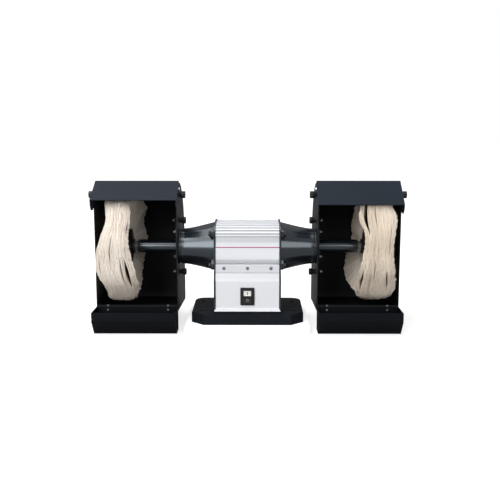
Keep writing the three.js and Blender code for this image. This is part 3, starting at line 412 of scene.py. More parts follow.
def turned(profile, steps=64, centre=(0, 0, axis_height), closed=True):
    """An outline of (x, radius) pairs, spun a full turn about a line along X."""
    shape = outlined([(x, 0, radius) for x, radius in profile], closed)
    bmesh.ops.spin(shape, geom=shape.verts[:] + shape.edges[:], cent=(0, 0, 0), axis=(1, 0, 0),
                   angle=2 * math.pi, steps=steps, use_merge=True)
    bmesh.ops.remove_doubles(shape, verts=shape.verts, dist=spun_weld)
    bmesh.ops.translate(shape, vec=centre, verts=shape.verts)
    return shape


def threaded(start, end, radius, pitch, depth):
    """The (x, radius) pairs of a thread's crests and roots."""
    turns = round(abs(end - start) / pitch)
    pairs = []
    for i in range(turns):
        crest = start + (end - start) * (i + 0.25) / turns
        root = start + (end - start) * (i + 0.75) / turns
        pairs += [(crest, radius), (root, radius - depth)]
    return pairs


# The steel's colour is set darker than bright ground steel, as painted shade for the spindle inside
# the guards
steel_shaded_dark = (0.26, 0.265, 0.275)
steel_shaded_light = (0.36, 0.365, 0.375)
ground_steel = Finish("ground_steel", Metallic=1.0)
lay = ground_steel.speckle(1100, 2, ground_steel.stretched((1, 0.02, 0.02)))
haze = ground_steel.speckle(30, 3)
ground_steel.surface(
    Base_Color=ground_steel.mixed(haze, steel_shaded_dark, steel_shaded_light),
    Roughness=ground_steel.around(0.24, (haze, 0.12), (lay, 0.10)),
    Normal=ground_steel.relief(lay, 0.00003),
)
# Radii in the motor, in a bearing, in a guard tube and in a buff, and where each one ends
motor_radius = 0.0160
motor_end = 0.1602
bearing_radius = 0.0150
bearing_end = 0.1765
guarded_radius = 0.0140
guarded_end = 0.3090
buff_seat_radius = 0.0125
buff_seat_end = 0.3600
edge_break = 0.0003
spindle_thread = {"start": 0.3605, "end": 0.3830, "radius": buff_seat_radius, "pitch": 0.0020,
                  "depth": 0.0011}
spindle_end = 0.3849
tip_radius = 0.0106
centre_hole = 0.0030
half_spindle = [
    (0, motor_radius), (motor_end - edge_break, motor_radius),
    (motor_end, motor_radius - edge_break), (motor_end, bearing_radius),
    (bearing_end, bearing_radius), (bearing_end, guarded_radius),
    (guarded_end - edge_break, guarded_radius), (guarded_end, guarded_radius - edge_break),
    (guarded_end, buff_seat_radius), (buff_seat_end, buff_seat_radius),
    *threaded(**spindle_thread), (spindle_end, tip_radius), (spindle_end, centre_hole),
    (spindle_end - centre_hole, 0.0),
]
spindle_line = [(-x, radius) for x, radius in reversed(half_spindle[1:])] + half_spindle
make_piece("spindle", turned(spindle_line, 48, closed=False), ground_steel, "spindle",
           ["spindle_shaft"])


# Bearings
# Shielded ball bearings, pressed into the noses of the cones. Both rings are ground steel
# and the dished shield between them is bright tin plate.

ring_dark = (0.55, 0.555, 0.56)
ring_light = (0.70, 0.705, 0.71)
bearing_steel = Finish("bearing_steel", Metallic=1.0)
wipe = bearing_steel.speckle(80, 3)
bearing_steel.surface(
    Base_Color=bearing_steel.mixed(wipe, ring_dark, ring_light),
    Roughness=0.20 + wipe * 0.12,
    Normal=bearing_steel.relief(bearing_steel.speckle(900, 2), 0.00001),
)
for side in ("left", "right"):
    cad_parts[f"{side}_bearing"].material_slots[0].material = bearing_steel.material


# End plates
# Thick plates at both ends of the motor that carry it down to the base. They are cut and
# drilled steel in gloss black, a little proud of the housing and of the covers.

sides = {"left": -1, "right": 1}

gloss_black = sprayed("gloss_black_enamel", (0.0060, 0.0078, 0.0110), 0.18, peel=500,
                      depth=0.000012, level=1.0, tint=(0.82, 0.92, 1.0, 1))
for side in sides:
    frame_shape = low_crowned(shape_of(f"{side}_end_plate"))
    make_piece(f"{side}_end_frame", frame_shape, gloss_black, "machine",
               [f"{side}_end_plate"], softness=0.0007)


# Cones
# Cast-iron cones that hold the spindle bearings far out from the motor. They are turned at
# the nose and sprayed gloss black, and four cast lugs take the long bolts through the motor.

def handed(shape, sign):
    """The shape as drawn for the right, or mirrored for the left."""
    if sign < 0:
        bmesh.ops.scale(shape, vec=(-1, 1, 1), verts=shape.verts)
        bmesh.ops.reverse_faces(shape, faces=shape.faces)
    return shape


def together(*shapes):
    """Several closed shapes as one."""
    whole = bmesh.new()
    for shape in shapes:
        mesh = bpy.data.meshes.new("part")
        shape.to_mesh(mesh)
        shape.free()
        whole.from_mesh(mesh)
        bpy.data.meshes.remove(mesh)
    return whole


def prism(outline, start, end):
    """An outline of (y, z) points, given depth from start to end along X."""
    shape = bmesh.new()
    face = shape.faces.new([shape.verts.new((start, y, z)) for y, z in outline])
    grown = bmesh.ops.extrude_face_region(shape, geom=[face])["geom"]
    corners = [v for v in grown if isinstance(v, bmesh.types.BMVert)]
    bmesh.ops.translate(shape, vec=(end - start, 0, 0), verts=corners)
    bmesh.ops.recalc_face_normals(shape, faces=shape.faces)
    return shape


def arc(centre, radius, start, end, steps):
    """Points on an arc, from one angle to another in degrees."""
    turns = [math.radians(start + (end - start) * i / steps) for i in range(steps + 1)]
    return [(centre[0] + radius * math.cos(t), centre[1] + radius * math.sin(t)) for t in turns]


# Along X: the foot on the end plate, the bearing's two ends and the face of the nose
cone_foot = 0.0895
bearing_mouth = 0.1602
bearing_stop = 0.1768
cone_nose = 0.1864
# Radii outside and inside
cone_wide = 0.0660
nose_radius = 0.0485
foot_bore = 0.0580
mouth_bore = 0.0405
bearing_bore = 0.0313
nose_bore = 0.01865
# The corners of the curve that blends the taper into the nose
blend_start = (0.11954, 0.05849)
blend_corner = (0.15946, nose_radius)
blend_end = (0.17254, nose_radius)
blend_steps = 12
# The turned groove round the nose, and the broken edges of groove and nose
groove_start = 0.1803
groove_end = 0.1819
groove_floor = nose_radius - 0.0020
groove_break = 0.0006
nose_break = 0.0008
tie_bolt_y = 0.0600
tie_bolt_z = 0.0430
lug_radius = 0.0115
lug_depth = 0.0070
lug_spread = 0.0015
lug_overlap = 0.0040


def blended(t):
    """A point of the blend, from nought at its start to one at its end."""
    weights = ((1 - t) ** 2, 2 * t * (1 - t), t ** 2)
    corners = (blend_start, blend_corner, blend_end)
    return tuple(sum(w * c[i] for w, c in zip(weights, corners)) for i in (0, 1))


cone_profile = [
    (cone_foot, cone_wide), *[blended(i / blend_steps) for i in range(blend_steps + 1)],
    (groove_start - groove_break, nose_radius), (groove_start, nose_radius - groove_break),
    (groove_start, groove_floor), (groove_end, groove_floor),
    (groove_end, nose_radius - groove_break), (groove_end + groove_break, nose_radius),
    (cone_nose - nose_break, nose_radius), (cone_nose, nose_radius - nose_break),
    (cone_nose, nose_bore), (bearing_stop, nose_bore), (bearing_stop, bearing_bore),
    (bearing_mouth, bearing_bore), (bearing_mouth, mouth_bore), (cone_foot, foot_bore),
]
for side, sign in sides.items():
    parts = [turned(cone_profile, 96)]
    for y, z in ((-1, 1), (1, 1), (1, -1), (-1, -1)):
        spot = Vector((y * tie_bolt_y, z * tie_bolt_z))
        turn = math.degrees(math.atan2(spot.y, spot.x))
        root = spot.normalized() * (cone_wide - lug_overlap)
        beside = Vector((-spot.y, spot.x)).normalized() * (lug_radius + lug_spread)
        ends = [root - beside, *arc(spot, lug_radius, turn - 90, turn + 90, 14), root + beside]
        outline = [(y, z + axis_height) for y, z in ends]
        parts.append(prism(outline, cone_foot, cone_foot + lug_depth))
    cone = handed(together(*parts), sign)
    make_piece(f"{side}_bearing_cone", cone, gloss_black, "machine",
               [f"{side}_cone"], softness=0.0006)


# Tie bolts
# Four long M8 bolts that run through the whole motor and pull both cones against it. Their
# black hexagon heads and nuts bear on thick washers on the lugs.

def six_sided(across, start, end, centre, chamfer=0.0006):
    """A hexagon bar along X with turned corners."""
    shape = bmesh.new()
    corner = across / math.sqrt(3)
    bmesh.ops.create_cone(shape, cap_ends=True, segments=6, radius1=corner, radius2=corner,
                          depth=end - start)
    rims = [e for e in shape.edges if abs(e.verts[0].co.z - e.verts[1].co.z) < 1e-7]
    bmesh.ops.bevel(shape, geom=rims, offset=chamfer, segments=2, profile=0.5, affect="EDGES",
                    material=-1)
    place = Matrix.Translation(((start + end) / 2, *centre)) @ Matrix.Rotation(math.pi / 2, 4, "Y")
    bmesh.ops.transform(shape, matrix=place, verts=shape.verts)
    return shape


oxide_dark = (0.018, 0.019, 0.022)
oxide_light = (0.045, 0.046, 0.050)
black_oxide = Finish("black_oxide_steel", Metallic=0.6, Specular_IOR_Level=0.5)
oil = black_oxide.speckle(120, 3)
black_oxide.surface(
    Base_Color=black_oxide.mixed(oil, oxide_dark, oxide_light),
    Roughness=0.30 + oil * 0.14,
    Normal=black_oxide.relief(black_oxide.speckle(1500, 2), 0.00002),
)
m8_radius = 0.0040
m8_across = 0.0130
washer_hole = 0.0043
washer_radius = 0.0080
washer_break = 0.0002
washer_gap = 0.0003
washer_seat = cone_foot + lug_depth + washer_gap
washer_end = washer_seat + 0.0016
head_end = washer_end + 0.0053
bolt_places = {"upper_front": (-1, 1), "upper_rear": (1, 1), "lower_rear": (1, -1),
               "lower_front": (-1, -1)}
for name, (y, z) in bolt_places.items():
    at = (0, y * tie_bolt_y, axis_height + z * tie_bolt_z)
    rod_line = [(-washer_end, 0), (-washer_end, m8_radius), (washer_end, m8_radius),
                (washer_end, 0)]
    parts = [turned(rod_line, 20, at, closed=False)]
    for sign in sides.values():
        low, high = sorted((sign * washer_seat, sign * washer_end))
        washer_line = [(low, washer_hole), (low, washer_radius - washer_break),
                       (low + washer_break, washer_radius), (high - washer_break, washer_radius),
                       (high, washer_radius - washer_break), (high, washer_hole)]
        parts.append(turned(washer_line, 32, at))
        low, high = sorted((sign * washer_end, sign * head_end))
        parts.append(six_sided(m8_across, low, high, at[1:]))
    make_piece(f"long_bolt_{name}", together(*parts), black_oxide, "machine",
               [f"tie_bolt_{name}"])


# Shaft tubes
# Thin steel tubes that guard the turning spindle between the cone and the buff. They are
# pressed into the cone's nose and sprayed with the same gloss black.

tube_start = 0.1771
tube_end = 0.2990
tube_bore = 0.0150
tube_radius = 0.01835
tube_break = 0.0008
tube_profile = [
    (tube_start, tube_bore), (tube_start, tube_radius), (tube_end - tube_break, tube_radius),
    (tube_end, tube_radius - tube_break), (tube_end, tube_bore),
]
for side, sign in sides.items():
    make_piece(f"{side}_guard_tube", handed(turned(tube_profile, 72), sign), gloss_black,
               "machine", [f"{side}_shaft_tube"])


# Hood brackets
# Flat steel brackets inside the motor-side walls, with a collar round the tube and two
# welded nuts for the clamp screws. Two zinc-plated bolts hold each one to the cone's nose.

satin_black = sprayed("satin_black_powder", (0.0078, 0.0084, 0.0100), 0.50, peel=1100,
                      depth=0.00006, level=0.20)
zinc_dark = (0.60, 0.60, 0.59)
zinc_light = (0.78, 0.78, 0.76)
zinc = Finish("bright_zinc", Metallic=1.0)
spangle = zinc.speckle(420, 3)
zinc.surface(
    Base_Color=zinc.mixed(spangle, zinc_dark, zinc_light),
    Roughness=0.22 + spangle * 0.16,
    Normal=zinc.relief(spangle, 0.00002),
)
# Along X: the bracket's inner face, the washer, the nut and the bolt's tip
bracket_back = 0.1930
nut_seat = bracket_back + 0.0014
nut_top = nut_seat + 0.0062
bolt_tip = nut_top + 0.0055
tip_break = 0.0010
nut_washer_radius = 0.0078
m8_thread = {"radius": m8_radius, "pitch": 0.0012, "depth": 0.0006}
nose_bolt_y = 0.0310
nose_bolt_rise = 0.0345
washer_line = [(bracket_back, 0), (bracket_back, nut_washer_radius),
               (nut_seat, nut_washer_radius), (nut_seat, 0)]
bolt_line = [(nut_top - tip_break, 0), (nut_top - tip_break, m8_radius),
             *threaded(nut_top, bolt_tip - tip_break, **m8_thread),
             (bolt_tip, m8_radius - tip_break), (bolt_tip, 0)]
for side, sign in sides.items():
    make_piece(f"{side}_hood_carrier", shape_of(f"{side}_hood_bracket"), satin_black, "machine",
               [f"{side}_hood_bracket"], softness=0.0005)
    parts = []
    for rise in (-nose_bolt_rise, nose_bolt_rise):
        at = (nose_bolt_y, axis_height + rise)
        parts += [
            turned(washer_line, 28, (0, *at), closed=False),
            six_sided(m8_across, nut_seat, nut_top, at),
            turned(bolt_line, 24, (0, *at), closed=False),
        ]
    make_piece(f"{side}_nose_bolts", handed(together(*parts), sign), zinc, "machine")


# Covers and their screws
# Pale sheet-metal covers in front of and behind the wiring space. Each has a straight
# flange under the housing's panel, held by three pan-head screws, and a rolled bulge below.

def stepped(shape, face, drawn_in, push):
    """Steps a face in or out: a new tread on it, drawn in about its middle and pushed."""
    tread = bmesh.ops.extrude_discrete_faces(shape, faces=[face])["faces"][0]
    about = Matrix.Translation(-tread.calc_center_bounds())
    bmesh.ops.scale(shape, vec=drawn_in, space=about, verts=tread.verts)
    bmesh.ops.translate(shape, vec=push, verts=tread.verts)
    return tread


def pan_head(radius, height, socket=0.0011):
    """A rounded screw head along +Z, standing on the origin, with a recess in it."""
    rounding = 0.72 * height
    mouth_share = 0.72
    floor_share = 0.62
    shape = bmesh.new()
    bmesh.ops.create_cone(shape, cap_ends=True, segments=28, radius1=radius, radius2=radius,
                          depth=height, matrix=Matrix.Translation((0, 0, height / 2)))
    rim = [e for e in shape.edges if all(abs(v.co.z - height) < 1e-7 for v in e.verts)]
    bmesh.ops.bevel(shape, geom=rim, offset=rounding, segments=5, profile=0.5, affect="EDGES",
                    material=-1)
    top = max(shape.faces, key=lambda f: f.calc_center_median().z)
    mouth = stepped(shape, top, (mouth_share, mouth_share, 1), (0, 0, 0))
    stepped(shape, mouth, (floor_share, floor_share, 1), (0, 0, -socket))
    return shape


def facing(shape, direction, at):
    """Turns a shape drawn along +Z to face a direction, and puts it in its place."""
    turn = Vector((0, 0, 1)).rotation_difference(Vector(direction)).to_matrix().to_4x4()
    bmesh.ops.transform(shape, matrix=Matrix.Translation(at) @ turn, verts=shape.verts)
    return shape


# Heights: the flange's top edge, the fold under it with its painted shadow line, the bulge, the
# span over which painted shade darkens the bulge's top and the flange, and the flared foot
flange_top = 0.1569
fold_shadow = (0.1340, 0.1385)
bulge_top = 0.1360
bulge_foot = 0.1150
bulge_shade = (0.1140, 0.1260)
foot_edge = 0.0380
bulge_depth = 0.0112
bulge_flatness = 0.6
foot_flare = 0.0030
foot_widening = 0.0884 / 0.0844
cover_dark = (0.735, 0.745, 0.775)
cover_light = (0.785, 0.795, 0.825)
flange_painted_shade = (0.670, 0.680, 0.710)
fold_painted_shadow = (0.520, 0.530, 0.555)
cover_white = Finish("cover_silver_enamel", Specular_IOR_Level=0.5)
cover_mist = cover_white.speckle(1300, 2)
cover_cloud = cover_white.speckle(8, 3)
cover_height = cover_white.part(cover_white.place(), "Z")
# Painted shade: the flange and the top of the bulge are darkened, and a thin painted shadow line
# lies in the fold
in_flange_shade = cover_white.fade(cover_height, *bulge_shade) * (cover_height < flange_top)
in_fold_shadow = (cover_height > fold_shadow[0]) * (cover_height < fold_shadow[1])
cover_tone = cover_white.mixed(cover_cloud, cover_dark, cover_light)
flange_shaded_tone = cover_white.mixed(in_flange_shade, cover_tone, flange_painted_shade)
cover_white.surface(
    Base_Color=cover_white.mixed(in_fold_shadow, flange_shaded_tone, fold_painted_shadow),
    Roughness=cover_white.around(0.40, (cover_mist, 0.08)),
    Normal=cover_white.relief(cover_mist, 0.000015),
)
tarnish_dark = (0.13, 0.13, 0.13)
tarnish_light = (0.30, 0.30, 0.29)
dull_zinc = Finish("dulled_zinc", Metallic=0.8)
tarnish = dull_zinc.speckle(500, 3)
dull_zinc.surface(
    Base_Color=dull_zinc.mixed(tarnish, tarnish_dark, tarnish_light),
    Roughness=0.40 + tarnish * 0.2,
    Normal=dull_zinc.relief(tarnish, 0.00003),
)


def refolded(cover):
    """Straightens the fall under the flange, and flares the foot over the end plates."""
    for vert in cover.verts:
        rise = (vert.co.z - bulge_foot) / (bulge_top - bulge_foot)
        if 0 < rise < 1:
            flattened = math.sqrt(1 - rise ** 2) - (1 - rise)
            vert.co.y -= math.copysign(bulge_depth * bulge_flatness * flattened, vert.co.y)
        if vert.co.z < foot_edge:
            vert.co.y += math.copysign(foot_flare, vert.co.y)
            vert.co.x *= foot_widening
    return cover


for place in ("front", "rear"):
    make_piece(f"{place}_wiring_cover", refolded(shape_of(f"{place}_cover")), cover_white,
               "machine", [f"{place}_cover"], softness=0.0004, crease=15)

flange_face = 0.0773
foot_face = 0.0903
screw_spread = 0.0625
cover_screw_height = 0.1485
foot_rivet_height = 0.0400
cover_screw = {"radius": 0.0043, "height": 0.0026}
foot_rivet = {"radius": 0.0028, "height": 0.0012, "socket": 0.0004}
for place, way in (("front", -1), ("rear", 1)):
    heads = [facing(pan_head(**cover_screw), (0, way, 0),
                    (x, way * flange_face, cover_screw_height))
             for x in (-screw_spread, 0, screw_spread)]
    make_piece(f"{place}_cover_screws", together(*heads), dull_zinc, "machine")
    rivets = [facing(pan_head(**foot_rivet), (0, way, 0), (x, way * foot_face, foot_rivet_height))
              for x in (-screw_spread, screw_spread)]
    make_piece(f"{place}_foot_rivets", together(*rivets), cover_white, "machine")


# Switch
# A moulded black switch block, clipped into the front cover. A white start button and a
# black stop button slide in its two pockets, with the plain marks I and O moulded in.

def grained_plastic(name, colour, roughness, grain=1500, depth=0.00003):
    """Moulded plastic with a fine spark-eroded grain."""
    plastic = Finish(name, Specular_IOR_Level=0.35)
    tone = plastic.speckle(40, 2)
    fine = plastic.speckle(grain, 2)
    plastic.surface(
        Base_Color=plastic.mixed(tone, shade(colour, 0.9), shade(colour, 1.1)),
        Roughness=plastic.around(roughness, (fine, 0.1)),
        Normal=plastic.relief(fine, depth),
    )
    return plastic


def block(low, high):
    """A box between two corners."""
    shape = bmesh.new()
    size = Vector(high) - Vector(low)
    middle = (Vector(high) + Vector(low)) / 2
    place = Matrix.Translation(middle) @ Matrix.Diagonal((*size, 1))
    bmesh.ops.create_cube(shape, size=1, matrix=place)
    return shape


def ring_mark(middle, radius, width, depth):
    """A flat ring standing off a face that looks to the front."""
    foot, top = middle.y, middle.y - depth
    profile = [(foot, radius - width), (top, radius - width), (top, radius), (foot, radius)]
    shape = turned(profile, 36, (0, 0, 0))
    turn = Matrix.Translation((middle.x, 0, middle.z)) @ Matrix.Rotation(math.pi / 2, 4, "Z")
    bmesh.ops.transform(shape, matrix=turn, verts=shape.verts)
    return shape


polished = {"grain": 2200, "depth": 0.00001}
switch_black = grained_plastic("switch_black_moulding", (0.0075, 0.0075, 0.0085), 0.45)
key_white = grained_plastic("key_white_moulding", (0.78, 0.78, 0.74), 0.30, **polished)
key_black = grained_plastic("key_black_moulding", (0.020, 0.020, 0.021), 0.26, **polished)
print_grey = grained_plastic("mark_grey_ink", (0.33, 0.33, 0.32), 0.5)
make_piece("switch_block", shape_of("switch_housing"), switch_black, "machine",
           ["switch_housing"], softness=0.0005)


dish_rim = (0.90, 1, 0.86)
dish_floor = (0.88, 1, 0.82)
dish_depth = 0.0006


def push_key(node, body, finish):
    """The button cap with a shallow finger dish in its face; gives the middle of that face."""
    shape = shape_of(node)
    face = min(shape.faces, key=lambda f: (round(f.calc_center_median().y, 4), -f.calc_area()))
    rim = stepped(shape, face, dish_rim, (0, 0, 0))
    dish = stepped(shape, rim, dish_floor, (0, dish_depth, 0))
    middle = dish.calc_center_bounds()
    make_piece(node.replace("button", "key"), shape, finish, body, [node], softness=0.0003)
    return middle


mark_relief = 0.0003
start_mark_half = Vector((0.0011, mark_relief, 0.0033))
stop_mark_radius = 0.0034
stop_mark_width = 0.0008
start = push_key("start_button", "start_button_body", key_white)
start_mark = block(start - start_mark_half, start + start_mark_half)
make_piece("start_mark", start_mark, key_black, "start_button_body")
stop = push_key("stop_button", "stop_button_body", key_black)
stop_mark = ring_mark(stop, stop_mark_radius, stop_mark_width, mark_relief)
make_piece("stop_mark", stop_mark, print_grey, "stop_button_body")


# Cable gland
# A black nylon gland through the rear cover, held by a lock nut inside. Its hexagon and
# domed cap squeeze a seal round the mains cable, which isn't part of this object.

gland_x = 0.0500
gland_height = 0.0656
gland_bore = 0.0045
gland_radius = 0.0100
gland_across = 0.0250
gland_thread = {"radius": gland_radius, "pitch": 0.0015, "depth": 0.0007}
# Places to the back: the inner end, the lock nut, the hexagon and the domed cap's end
gland_start = 0.0815
lock_nut = (0.0812, 0.0862)
gland_hexagon = (0.0888, 0.0948)
gland_end = 0.1068
# The dome as (distance from the end, radius)
gland_dome = ((0.0120, 0.0105), (0.0112, 0.0105), (0.0106, 0.0101), (0.0068, 0.0100),
              (0.0033, 0.0091), (0.0010, 0.0079), (0, 0.0066), (0, 0.0052))
gland_profile = [
    (gland_start, gland_bore), (gland_start, gland_radius - 0.0004),
    *threaded(gland_start + 0.0005, lock_nut[1] + 0.0003, **gland_thread),
    (gland_hexagon[0], gland_radius), *[(gland_end - back, radius) for back, radius in gland_dome],
    (gland_end - 0.0008, gland_bore),
]
gland_parts = [
    turned(gland_profile, 48, (0, 0, 0)),
    six_sided(gland_across, *gland_hexagon, (0, 0)),
    six_sided(gland_across, *lock_nut, (0, 0)),
]
gland_shape = together(*gland_parts)
gland_turn = Matrix.Translation((gland_x, 0, gland_height)) @ Matrix.Rotation(math.pi / 2, 4, "Z")
bmesh.ops.transform(gland_shape, matrix=gland_turn, verts=gland_shape.verts)
make_piece("mains_gland", gland_shape, switch_black, "machine", ["cable_gland"])


# Buff flanges and spindle nuts
# Turned steel flanges that clamp each buff between their flat rims, painted black, and the
# bright M24 nut that pulls the outer one in along the spindle's thread.

spindle_clearance = 0.0129
hub_length = 0.0070
hub_outside = 0.0200
hub_break = 0.0007
plate_depth = 0.0050
plate_rim = 0.0475
plate_break = 0.0006
plate_draft = 0.0013
plate_slope_end = 0.0022
hub_fillet = 0.0008
relief_radius = 0.0400
relief_depth = 0.0015


def flange_profile(contact, way):
    """The section of a clamp flange whose hub stands out against the way it presses."""
    back = contact - way * plate_depth
    hub_end = back - way * hub_length
    return [
        (hub_end, spindle_clearance), (hub_end, hub_outside - hub_break),
        (hub_end + way * hub_break, hub_outside), (back - way * hub_fillet, hub_outside),
        (back, hub_outside + hub_fillet), (back + way * plate_draft, plate_rim - plate_draft),
        (back + way * plate_slope_end, plate_rim), (contact - way * plate_break, plate_rim),
        (contact, plate_rim - plate_break), (contact, relief_radius),
        (contact - way * relief_depth, relief_radius),
        (contact - way * relief_depth, spindle_clearance),
    ]


corner_fall = 0.0016
corner_in = 0.0008
corner_out = 0.0006
corner_reach = 1.13


def nut_along_x(across, bore, start, end, centre):
    """A hexagon nut: a bored ring whose outside is drawn out to six flats."""
    flat = across / 2
    outer = [(end, flat - corner_in), (end - corner_fall, flat + corner_out),
             (start + corner_fall, flat + corner_out), (start, flat - corner_in)]
    shape = turned([(start, bore), (end, bore), *outer], 72, (0, 0, 0))
    for vert in shape.verts:
        radius = math.hypot(vert.co.y, vert.co.z)
        if radius > flat:
            turn = math.atan2(vert.co.z, vert.co.y)
            off_flat = (turn + math.pi / 6) % (math.pi / 3) - math.pi / 6
            reach = flat * min(1 / math.cos(off_flat), corner_reach) / radius
            vert.co.y *= reach
            vert.co.z *= reach
    bmesh.ops.translate(shape, vec=(0, *centre), verts=shape.verts)
    return shape


flange_black = sprayed("flange_black_enamel", (0.0080, 0.0085, 0.0100), 0.40, level=0.25)
inner_contact = 0.3213
outer_contact = 0.3496
nut_start = 0.3619
nut_end = nut_start + 0.0140
nut_across = 0.0360
for side, sign in sides.items():
    for label, contact, way in (("inner", inner_contact, 1), ("outer", outer_contact, -1)):
        plate = turned(flange_profile(contact, way), 80)
        make_piece(f"{side}_{label}_clamp_plate", handed(plate, sign), flange_black, "spindle",
                   [f"{side}_{label}_flange"])
    nut = nut_along_x(nut_across, spindle_clearance, nut_start, nut_end, (0, axis_height))
    make_piece(f"{side}_buff_nut", handed(nut, sign), zinc, "spindle",
               [f"{side}_spindle_nut"])


# Cotton buffs
# Each buff is two packs of loose cotton discs, clamped flat at the hub. The discs fan out to
# the rim in their own waves, part in long slits, and fray to a rough edge.

thread_scale = 190.0
# Both buffs are shifted towards the clean cream, and the right one is drawn darker, towards the
# soiled cream
cream_lift = 0.15
right_darkening = 0.40
soiled_cream = (0.85, 0.735, 0.590)
clean_cream = (0.98, 0.915, 0.845)
spot_tan = (0.74, 0.60, 0.45)
streak_brown = (0.62, 0.48, 0.34)
painted_shade_brown = (0.22, 0.125, 0.055)
cotton = Finish("loose_cotton", Specular_IOR_Level=0.12, Sheen_Weight=0.15, Sheen_Roughness=0.6)
weave_place = cotton.place()
weave = {"Vector": weave_place, "Scale": thread_scale, "Distortion": 1.2, "Detail": 2.0,
         "Detail Scale": 1.5}
threads = [cotton.add("ShaderNodeTexWave", {"bands_direction": way}, weave, output="Fac")
           for way in "YZ"]
fluff = cotton.speckle(520, 5)
crumple = cotton.speckle(140, 4)
soil = cotton.speckle(13, 4)
blotch = cotton.speckle(75, 3)
edge_streak = cotton.speckle(330, 3, cotton.stretched((1, 0.05, 0.05)))
fold_tone = cotton.add("ShaderNodeAttribute", {"attribute_name": "fold_tone"}, output="Fac")
on_right = cotton.part(weave_place, "X") > 0
cream = cotton.mixed(soil + cream_lift - on_right * right_darkening, soiled_cream, clean_cream)
spotted = cotton.mixed((blotch - 0.46) * 0.9, cream, spot_tan)
streaked = cotton.mixed((edge_streak - 0.48) * 0.9, spotted, streak_brown)
cotton.surface(
    Base_Color=cotton.mixed(fold_tone, painted_shade_brown, streaked),
    Roughness=cotton.around(0.90, (fluff, 0.1)),
    Normal=cotton.relief((threads[0] + threads[1]) * 0.3 + fluff * 0.8 + crumple * 1.1
                         + edge_streak * 0.7, 0.0010),
)

hub_radius = 0.0485
bore_radius = spindle_clearance
rim_radius = 0.1476
pack_start = 0.3216
pack_end = 0.3493
discs = 20
ply_gap = 0.02
spin_steps = 320
sectors = 16
hood_width = 0.220
buff_middle = (pack_start + pack_end) / 2
# Noise is read on a ring of this radius, and a step further along for each disc
noise_ring = 3.0
noise_step = 0.22
fray_step = 0.9
edge_drift = 0.0010
fine_ruffle = 0.65
slit_spread = 0.10
# Half of a disc's room that it fills, and how much that varies
filled_half = 0.492
filled_drift = 0.006
scallop = 0.0024
scallops = 9
end_disc_fall = 0.0100
fray_depth = 0.0010
end_fray_depth = 0.0006
sway_depth = 0.004
fan_curve = 1.25
tone_drift = 0.05
# Between the discs, inside this reach, the colour darkens as painted shade; the outer faces get a
# lighter painted shade up to the next
lit_reach = 0.975
shadow_run = 0.22
face_shade_reach = 0.97
hidden_shade = 0.92
face_painted_shade = 0.88
# Where the outermost discs stand round the rim, from the back over the top, as shares of the
# hood's width from the buff's middle, as in the CAD
buffs = {
    "left": {
        "phase": 0.4,
        "ruffles": (0.0034, 0.0012),
        "outboard": (0.216, 0.230, 0.193, 0.180, 0.216, 0.216, 0.187, 0.152, 0.193,
                     0.252, 0.250, 0.191, 0.175, 0.207, 0.234, 0.212, 0.171, 0.180),
        "inboard": (-0.202, -0.161, -0.213, -0.179, -0.147, -0.125, -0.122, -0.143, -0.134,
                    -0.161, -0.204, -0.234, -0.197, -0.147, -0.136, -0.152, -0.143, -0.166),
        # angle and half length in degrees, place across the rim, widest opening
        "slits": ((178, 19, 0.60, 0.0036), (203, 19, 0.20, 0.0095), (192, 13, 0.88, 0.0034),
                  (200, 17, 0.31, 0.0036), (62, 20, 0.50, 0.0070), (318, 22, 0.30, 0.0075),
                  (20, 16, 0.66, 0.0055), (152, 9, 0.08, 0.0030)),
    },
    "right": {
        "phase": 2.1,
        "ruffles": (0.0030, 0.0026),
        "outboard": (0.193, 0.162, 0.189, 0.230, 0.221, 0.193, 0.209, 0.252, 0.205,
                     0.193, 0.216, 0.248, 0.221, 0.180, 0.171, 0.207, 0.239, 0.230),
        "inboard": (-0.163, -0.170, -0.143, -0.120, -0.138, -0.161, -0.170, -0.202, -0.150,
                    -0.170, -0.207, -0.229, -0.207, -0.157, -0.152, -0.227, -0.266, -0.234),
        "slits": ((134, 26, 0.14, 0.0105), (138, 18, 0.42, 0.0026), (212, 15, 0.10, 0.0062),
                  (211, 14, 0.77, 0.0066), (166, 20, 0.85, 0.0030), (45, 20, 0.55, 0.0070),
                  (300, 22, 0.42, 0.0070), (250, 12, 0.50, 0.0036), (196, 14, 0.40, 0.0022)),
    },
}


def round_rim(shares, angle):
    """A smooth value between ones spaced evenly round a full turn."""
    place = len(shares) * angle / (2 * math.pi)
    first = math.floor(place)
    t = place - first
    before, here, there, after = (shares[(first + i) % len(shares)] for i in (-1, 0, 1, 2))
    slope_in = (there - before) / 2
    slope_out = (after - here) / 2
    return (here + t * slope_in + t ** 2 * (3 * (there - here) - 2 * slope_in - slope_out)
            + t ** 3 * (2 * (here - there) + slope_in + slope_out))


def disc_wires(first_disc):
    """The sections of a pack's discs as wires; x counts discs and the radius is 1 + reach / 2."""
    side = (-1.0, 0.0, 0.40, 0.74, 0.990)
    shown_side = (-1.0, 0.0, 0.16, 0.32, 0.48, 0.62, 0.76, 0.88, 0.96, 0.990)
    rim = ((0.14, 0.9972), (0.50, 1.0), (0.86, 0.9972))
    wires = bmesh.new()
    for i in range(discs):
        low = shown_side if first_disc + i == 0 else side
        high = shown_side if first_disc + i == 2 * discs - 1 else side
        spots = [(ply_gap, reach) for reach in low] + list(rim)
        spots += [(1 - ply_gap, reach) for reach in reversed(high)]
        ring = [wires.verts.new((i + x, 1.0 + 0.5 * reach, 0)) for x, reach in spots]
        for pair in zip(ring, ring[1:] + ring[:1]):
            wires.edges.new(pair)
    return wires


